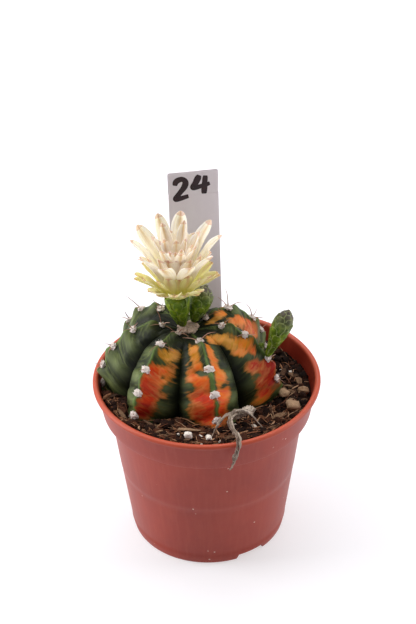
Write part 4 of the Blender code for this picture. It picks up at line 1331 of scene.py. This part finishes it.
# fresh tepal: thin cream tissue that lets light through, green at its base and flushed pink at its tip
def tepalTissue():
    # the emission is a painted glow that stands in for light coming through the tissue from behind
    made, tree, shader = newMaterial(
        "tepalTissue", IOR=1.4, Roughness=0.55, Subsurface_Weight=0.65, Subsurface_Scale=1.0,
        Subsurface_Radius=(0.0030, 0.0026, 0.0015), Emission_Strength=0.13, Sheen_Weight=0.08)
    side, share, green = [addNode(tree, "Attribute", output="Fac", attribute_name=name)
                          for name in ("side", "share", "green")]
    place = addNode(tree, "TexCoord", output="Object")
    # veins 0.4 mm apart along the tepal
    along = addNode(tree, "CombineXYZ", X=side, Y=share)
    veinMap = addNode(tree, "Mapping", Scale=(5.0, 0.9, 1.0), Vector=along)
    veins = addNode(tree, "TexNoise", Scale=2.0, Detail=3.0, Distortion=0.3, Vector=veinMap)
    mottle = addNode(tree, "TexNoise", Scale=260.0, Detail=3.0, Vector=place)
    cream = addNode(tree, "ValToRGB", stops=[(0.30, "DCCBB2"), (0.50, "EADDCB"), (0.70, "F3EBE0")], Fac=veins)
    # the base is yellow green, most of all on the outer ones
    low = addNode(tree, "MapRange", From_Min=0.62, From_Max=0.02, Value=share)
    low = addNode(tree, "Math", (low, 0.75, green), operation="MULTIPLY_ADD", use_clamp=True)
    leafy = addNode(tree, "ValToRGB", stops=[(0.30, "D8D080"), (0.55, "C8C05A"), (0.75, "DCD694")], Fac=veins)
    colour = addNode(tree, "MixRGB", Fac=low, Color1=cream, Color2=leafy)
    # a tan stripe up the middle towards the tip, and a pink tip
    away = addNode(tree, "Math", (side,), operation="ABSOLUTE")
    away = addNode(tree, "Math", (mottle, 0.7, away), operation="MULTIPLY_ADD")
    stripe = addNode(tree, "MapRange", From_Min=0.85, From_Max=0.40, Value=away)
    upper = addNode(tree, "MapRange", From_Min=0.45, From_Max=0.92, To_Max=0.85, Value=share)
    striped = addNode(tree, "Math", (stripe, upper), operation="MULTIPLY")
    colour = addNode(tree, "MixRGB", Fac=striped, Color1=colour, Color2="B4845F")
    tip = addNode(tree, "Math", (mottle, 0.10, share), operation="MULTIPLY_ADD")
    tip = addNode(tree, "ValToRGB", stops=[(0.998, 0.0), (1.05, 0.55)], Fac=tip)
    colour = addNode(tree, "MixRGB", Fac=tip, Color1=colour, Color2="B0605E")
    bump = addNode(tree, "Bump", Strength=0.35, Distance=0.0003, Height=veins)
    setNode(tree, shader, Base_Color=colour, Emission_Color=colour, Normal=bump)
    return made


def makeStamens(random):
    rod = makeRod(5, 8)
    mouth = flower["mouth"]
    threads, anthers = [], []
    bpy.ops.mesh.primitive_ico_sphere_add(subdivisions=1, radius=1)
    bead = takeMesh()
    for index in range(flower["stamens"]):
        layer = (index % 3) / 2
        height = mix(8.0, 12.2, layer) * mm + random.uniform(-0.6, 0.6) * mm
        reach = mix(2.4, 1.2, layer) * mm * random.uniform(0.8, 1.15)
        outward, _ = ways(index * 2.39996)
        root = mouth + outward * mix(1.5, 0.8, layer) * mm + up * 0.4 * mm
        top = mouth + outward * reach + up * height
        seat = top - outward * 0.5 * mm + up * 0.15 * mm
        points = [root, root + up * 0.55 * height + outward * 0.5 * mm, top, seat]
        threads.append(bendRod(rod, points, lambda s: (0.11 - 0.04 * s) * mm, 1.0, 0.3))
        turn = Matrix.Rotation(random.uniform(0, 3), 3, "Z")
        tone = 0.6 + 0.4 * random.random()
        grain = flower["anther"]
        anthers.append(copyShape(bead, lambda co: seat + turn @ scaled(co, (1.3, 0.75, 0.7)) * grain, tone))
    return joinPieces(threads), joinPieces(anthers)


def makeStyle():
    mouth = flower["mouth"]
    rod = makeRod(10, 14)
    top = Vector((mouth.x, mouth.y, styleHigh.z - 1.6 * mm))
    column = [mouth, mouth + up * 5 * mm, mouth + up * 10 * mm, top]
    made = [bendRod(rod, column, lambda s: mix(0.50, 0.62, s) * mm, 1.0, 0.7)]
    for index in range(flower["lobes"]):
        outward, _ = ways(index * 2 * pi / flower["lobes"])
        root = column[-1] - up * 0.3 * mm
        points = [root, root + up * 1.0 * mm + outward * 0.35 * mm, root + up * 1.7 * mm + outward * 0.9 * mm]
        made.append(bendRod(rod, points, lambda s: (0.30 - 0.12 * s) * mm, 1.0, 0.9))
    return joinPieces(made)


# pollen and soft threads: moist and powdery, paler where the tone is high
def softTissue(name, stops, roughness):
    return grainyStuff(name, stops, {"Scale": 1800.0, "Detail": 3.0}, 0.5, (0.5, 0.0002),
                       Roughness=roughness, Subsurface_Weight=0.2,
                       Subsurface_Radius=(0.001, 0.0008, 0.0004), Subsurface_Scale=1.0)


random = Random(flower["seed"])
tepalCream = tepalTissue()
for whorlName, whorl in whorls.items():
    for index in range(whorl["count"]):
        node = f"{whorlName}_{index + 1}"
        pieceName = f"{whorlName[6:]}Tepal{index + 1}"
        tepal = makeTepal(random, *nodeLine(node, whorl), whorl)
        finishPiece(tepal, pieceName, tepalCream, [node], 60)
for pieceName, (whorlName, rowSpots) in fillers.items():
    whorl = whorls[whorlName]
    made = []
    for degrees, length, low, high in rowSpots:
        azimuth = radians(degrees + random.uniform(-4, 4))
        line = tepalLine(whorl, azimuth, length * mm, (low, high + random.uniform(-4, 4)))
        made.append(makeTepal(random, azimuth, line, whorl))
    finishPiece(joinPieces(made), pieceName, tepalCream, (), 60)
pollen = softTissue("pollen", [(0.0, "B98A20"), (0.5, "E3B93E"), (1.0, "F2D878")], 0.85)
filament = softTissue("filament", [(0.0, "D9D58A"), (0.6, "F0E9BC"), (1.0, "FBF6DA")], 0.5)
threads, anthers = makeStamens(random)
finishPiece(threads, "filaments", filament, ["stamens"], 60)
finishPiece(anthers, "anthers", pollen, (), 60)
finishPiece(makeStyle(), "style.pistil", filament, ["style"], 60)
print("flower is made")

# flower tube and buds, each a spindle under overlapping scales: heights are shares of the axis, the
# core is (height, radius in mm), and each tier of scales is (height, length in mm, half width in mm,
# how many, flare in mm, turn)
spindles = {
    "flower_tube": {
        "piece": "flowerTube",
        "core": [(0, 1.3), (0.10, 1.75), (0.28, 2.5), (0.48, 3.3), (0.68, 3.95), (0.86, 4.3), (0.95, 4.2),
                 (1.0, 3.6)],
        "tiers": [(0.12, 3.6, 1.1, 4, 0.25, 0.2), (0.30, 4.2, 1.5, 5, 0.28, 0.9),
                  (0.50, 4.6, 1.8, 5, 0.30, 0.3),
                  (0.68, 4.6, 2.0, 6, 0.45, 0.8)],
        "grown": 0.45,
    },
    "bud_crown": {
        "piece": "crownBud",
        "core": [(0, 1.1), (0.12, 1.7), (0.30, 2.9), (0.50, 3.75), (0.68, 3.9), (0.84, 3.2), (0.94, 1.9),
                 (1.0, 0.6)],
        "tiers": [(0.06, 3.8, 1.3, 5, 0.3, 0.0), (0.20, 4.2, 1.7, 6, 0.35, 0.6),
                  (0.35, 4.4, 2.0, 6, 0.40, 0.1),
                  (0.50, 4.3, 2.0, 6, 0.40, 0.7), (0.64, 3.9, 1.8, 6, 0.35, 0.2),
                  (0.77, 3.2, 1.3, 5, 0.15, 0.8),
                  (0.88, 2.2, 0.9, 4, -0.1, 0.3)],
        "grown": 1.0,
    },
    "bud_side": {
        "piece": "sideBud",
        "core": [(0, 1.0), (0.10, 1.25), (0.25, 1.8), (0.42, 2.7), (0.60, 3.35), (0.76, 3.3), (0.90, 2.2),
                 (1.0, 0.6)],
        "tiers": [(0.05, 4.2, 1.0, 4, 0.2, 0.0), (0.17, 4.8, 1.3, 5, 0.3, 0.6),
                  (0.31, 4.8, 1.7, 5, 0.40, 0.1),
                  (0.44, 4.8, 1.9, 5, 0.42, 0.7), (0.56, 4.6, 1.9, 5, 0.42, 0.2),
                  (0.68, 4.3, 1.7, 5, 0.35, 0.8),
                  (0.79, 3.4, 1.4, 5, 0.15, 0.4), (0.89, 2.2, 1.0, 4, -0.1, 0.9)],
        "grown": 1.0,
    },
    "bud_nub": {
        "piece": "nubBud",
        "core": [(0, 0.45), (0.3, 0.8), (0.6, 0.85), (0.85, 0.6), (1.0, 0.2)],
        "tiers": [(0.10, 1.1, 0.55, 4, 0.08, 0.0), (0.35, 1.1, 0.5, 4, 0.05, 0.7)],
        "grown": 0.6,
    },
}


def coreRadius(core, share):
    for (low, lowRadius), (high, highRadius) in zip(core, core[1:]):
        if share <= high:
            return mix(lowRadius, highRadius, (share - low) / (high - low)) * mm
    return core[-1][1] * mm


def makeSpindle(random, node, settings):
    low, high = nodeAxis(node)
    axis = high - low
    length = axis.length
    turn = axis.to_track_quat("Z", "Y").to_matrix()
    core, grown = settings["core"], settings["grown"]
    shares = [step / 30 for step in range(31)]
    profile = [(max(coreRadius(core, share) - 0.12 * mm, 0.05 * mm), length * share) for share in shares]
    spindle = turnRings([(0.04 * mm, 0)] + profile + [(0.04 * mm, length)], 28)
    made = [spindle]
    setMark(spindle.data, "tone", 0.15)
    setMark(spindle.data, "rise", [vertex.co.z / length * grown for vertex in spindle.data.vertices])
    for height, long, wide, count, flare, offset in settings["tiers"]:
        for index in range(count):
            azimuth = 2 * pi * (index + offset) / count + random.uniform(-0.12, 0.12)
            longer, wider = long * random.uniform(0.9, 1.1) * mm, wide * random.uniform(0.92, 1.08) * mm
            made.append(makeScale(random, core, length, height, longer, wider, flare * mm, azimuth, grown))
    for piece in made:
        for vertex in piece.data.vertices:
            vertex.co = low + turn @ vertex.co
    return joinPieces(made)


# a shield-shaped scale that lies on the core and lifts at its tip
def makeScale(random, core, length, height, long, wide, flare, azimuth, grown):
    bpy.ops.mesh.primitive_grid_add(x_subdivisions=8, y_subdivisions=9, size=2)
    plate = bpy.context.object
    lift = random.uniform(0.7, 1.3)
    tones, rises = [], []
    for vertex in plate.data.vertices:
        side, share = vertex.co.x, (vertex.co.y + 1) / 2
        half = wide * (0.72 + 0.5 * share) * max(1 - share ** 3.2, 0.0) ** 0.55 + 0.03 * mm
        if share < 0.999 and share > 0.9:
            half *= 0.9
        z = height * length + share * long
        radius = coreRadius(core, min(z / length, 1.0))
        keel = 0.22 * mm * (1 - abs(side)) * (1 - 0.4 * share)
        stand = 0.10 * mm + keel + flare * lift * share ** 2.2
        angle = azimuth + side * half / max(radius, 0.7 * mm)
        reach = max(radius, 0.45 * mm) + stand
        vertex.co = Vector((reach * cos(angle), reach * sin(angle), z))
        tones.append(max(abs(side) ** 2.5, share ** 6))
        rises.append(min(z / length, 1.0) * grown)
    setMark(plate.data, "tone", tones)
    setMark(plate.data, "rise", rises)
    applyModifier(plate, "SOLIDIFY", thickness=0.16 * mm, offset=-1, use_rim=True)
    return plate


# bud scale: waxy green flesh, pale along its thin margin, purple grey towards the bud's tip
def budScale(name, greens, tipColour, margin):
    made, tree, shader = newMaterial(name, IOR=1.42, Roughness=0.45, Specular_IOR_Level=0.3,
                                     Subsurface_Weight=0.15, Subsurface_Scale=1.0,
                                     Subsurface_Radius=(0.0012, 0.0014, 0.0002))
    place = addNode(tree, "TexCoord", output="Object")
    edge, rise = [addNode(tree, "Attribute", output="Fac", attribute_name=name) for name in ("tone", "rise")]
    blotch = addNode(tree, "TexNoise", Scale=420.0, Detail=4.0, Roughness=0.6, Vector=place)
    colour = addNode(tree, "ValToRGB", stops=list(zip((0.3, 0.5, 0.72), greens)), Fac=blotch)
    risen = addNode(tree, "Math", (blotch, 0.30, -0.15), operation="MULTIPLY_ADD")
    risen = addNode(tree, "Math", (risen, rise), operation="ADD")
    toTip = addNode(tree, "ValToRGB", stops=[(0.62, 0.0), (0.95, 0.85)], Fac=risen)
    colour = addNode(tree, "MixRGB", Fac=toTip, Color1=colour, Color2=tipColour)
    toEdge = addNode(tree, "ValToRGB", stops=[(0.45, 0.0), (0.95, margin)], Fac=edge)
    colour = addNode(tree, "MixRGB", Fac=toEdge, Color1=colour, Color2="B2BE7C")
    bump = addNode(tree, "Bump", Strength=0.3, Distance=0.0004, Height=blotch)
    setNode(tree, shader, Base_Color=colour, Normal=bump)
    return made


tubeGreen = budScale("tubeFlesh", ("2E4404", "567009", "98A824"), "9AB03A", 0.28)
budGreen = budScale("budScales", ("304408", "56700F", "90A82A"), "5A4A50", 0.62)
for node, settings in spindles.items():
    colour = tubeGreen if node == "flower_tube" else budGreen
    finishPiece(makeSpindle(random, node, settings), settings["piece"], colour, [node], 50)
print("tube and buds are made")

remnant = {"azimuth": -75, "foot": 28.4 * mm, "lumpSize": (2.6 * mm, 1.9 * mm, 1.7 * mm)}


# dead petals that hang over the rim: twisted strips, and lumps where they have shrivelled
def makeRemnant():
    out, along = ways(radians(remnant["azimuth"]))

    def at(outward, sideways, height):
        return out * (remnant["foot"] + outward * mm) + along * sideways * mm + up * (potHeight + height * mm)

    def over(outward, sideways, height):
        return at(outward, sideways, height) + out * (rimRadius - remnant["foot"])

    tail = [at(-1.4, 7.0, 1.2), at(-0.6, 3.6, 1.8), at(0.8, 0.8, 1.6), at(3.4, -0.4, 1.4),
            over(-6.0, -0.1, 1.2), over(-1.4, 0.2, 1.8), over(0.9, -0.6, -0.6), over(1.1, -1.6, -4.5),
            over(1.0, -2.4, -8.2), over(0.9, -3.4, -10.2)]
    # points, width at the start and how much it loses, flatness, twist, tone
    strips = [
        ([p + (out * 0.3 + along * 0.7 + up * 0.3) * mm for p in tail[1:8]], 0.85, 0.5, 0.4, -4.0, 0.60),
        ([p + (out * 0.4 - along * 0.5) * mm for p in tail[2:9]], 0.6, 0.3, 0.5, 3.0, 0.30),
        ([at(-0.8, 1.5, 2.4), at(1.0, -1.8, 2.6), at(3.0, -4.2, 1.6), at(4.6, -6.2, 0.2),
        at(6.2, -7.8, -1.6)],
         0.75, 0.5, 0.5, 2.0, 0.55),
        ([at(-1.2, 5.8, 3.0), at(1.5, 8.0, 2.6), at(3.8, 9.8, 0.6),
        at(5.0, 11.6, -1.8)], 0.5, 0.3, 0.6, 1.0, 0.65),
        ([at(-0.6, 3.4, 3.2), at(0.8, 5.2, 3.9), at(1.4, 7.2, 3.2),
        at(1.2, 9.0, 1.6)], 0.8, 0.35, 0.5, 2.5, 0.75),
    ]

    def tailWidth(s):
        return (1.7 - 1.0 * ease(s / 0.45) + 0.25 * sin(9 * s)) * mm * (1 - 0.75 * max(s - 0.8, 0) / 0.2)

    ribbon, thread = makeRod(9, 60), makeRod(6, 22)
    made = [bendRod(ribbon, tail, tailWidth, 0.34, 0.45, 5.0)]
    for points, wide, loss, flat, twist, tone in strips:
        rod = ribbon if len(points) > 5 else thread
        made.append(bendRod(rod, points, lambda s: (wide - loss * s) * mm, flat, tone, twist))
    for strip, tone in zip(made, [0.45] + [strip[-1] for strip in strips]):
        seed = Vector((tone * 40, 0, 0))
        for vertex in strip.data.vertices:
            spot = vertex.co / (1.5 * mm) + seed
            fold = [noise.noise(spot + Vector(shift)) for shift in ((0, 0, 0), (9, 0, 0), (0, 9, 0))]
            vertex.co += Vector(fold) * 0.42 * mm
    bpy.ops.mesh.primitive_ico_sphere_add(subdivisions=4, radius=1)
    ball = takeMesh()
    lumps = [(at(-1.5, 8.2, 1.7), 1.0, 0.80), (at(-0.9, 4.6, 1.5), 0.85, 0.50),
             (at(0.0, 1.4, 1.2), 0.55, 0.35)]
    for place, size, tone in lumps:
        seed = Vector((tone * 31, 2, 0))
        wide, deep, tall = (value * size for value in remnant["lumpSize"])

        def crumple(co):
            fold = 1 - 0.55 * abs(noise.noise(co * 1.9 + seed)) ** 0.7 + 0.35 * noise.noise(co * 3.6 + seed)
            return place + (along * co.x * wide + out * co.y * deep + up * co.z * tall) * fold

        made.append(copyShape(ball, crumple, tone))
    return joinPieces(made)


# papery dead petals: brown grey, creased and matt, pale where they have bleached
deadPetal = grainyStuff(
    "deadPetal", [(0.0, "38281F"), (0.3, "6E5A4E"), (0.6, "A89888"), (0.9, "DCCFC0")],
    {"Scale": 620.0, "Detail": 6.0, "Roughness": 0.7, "Distortion": 1.2}, 1.1, (0.8, 0.0005), Roughness=0.85)
finishPiece(makeRemnant(), "witheredFlower", deadPetal, ["withered_flower"], 60)
print("withered flower is made")

bpy.context.view_layer.update()
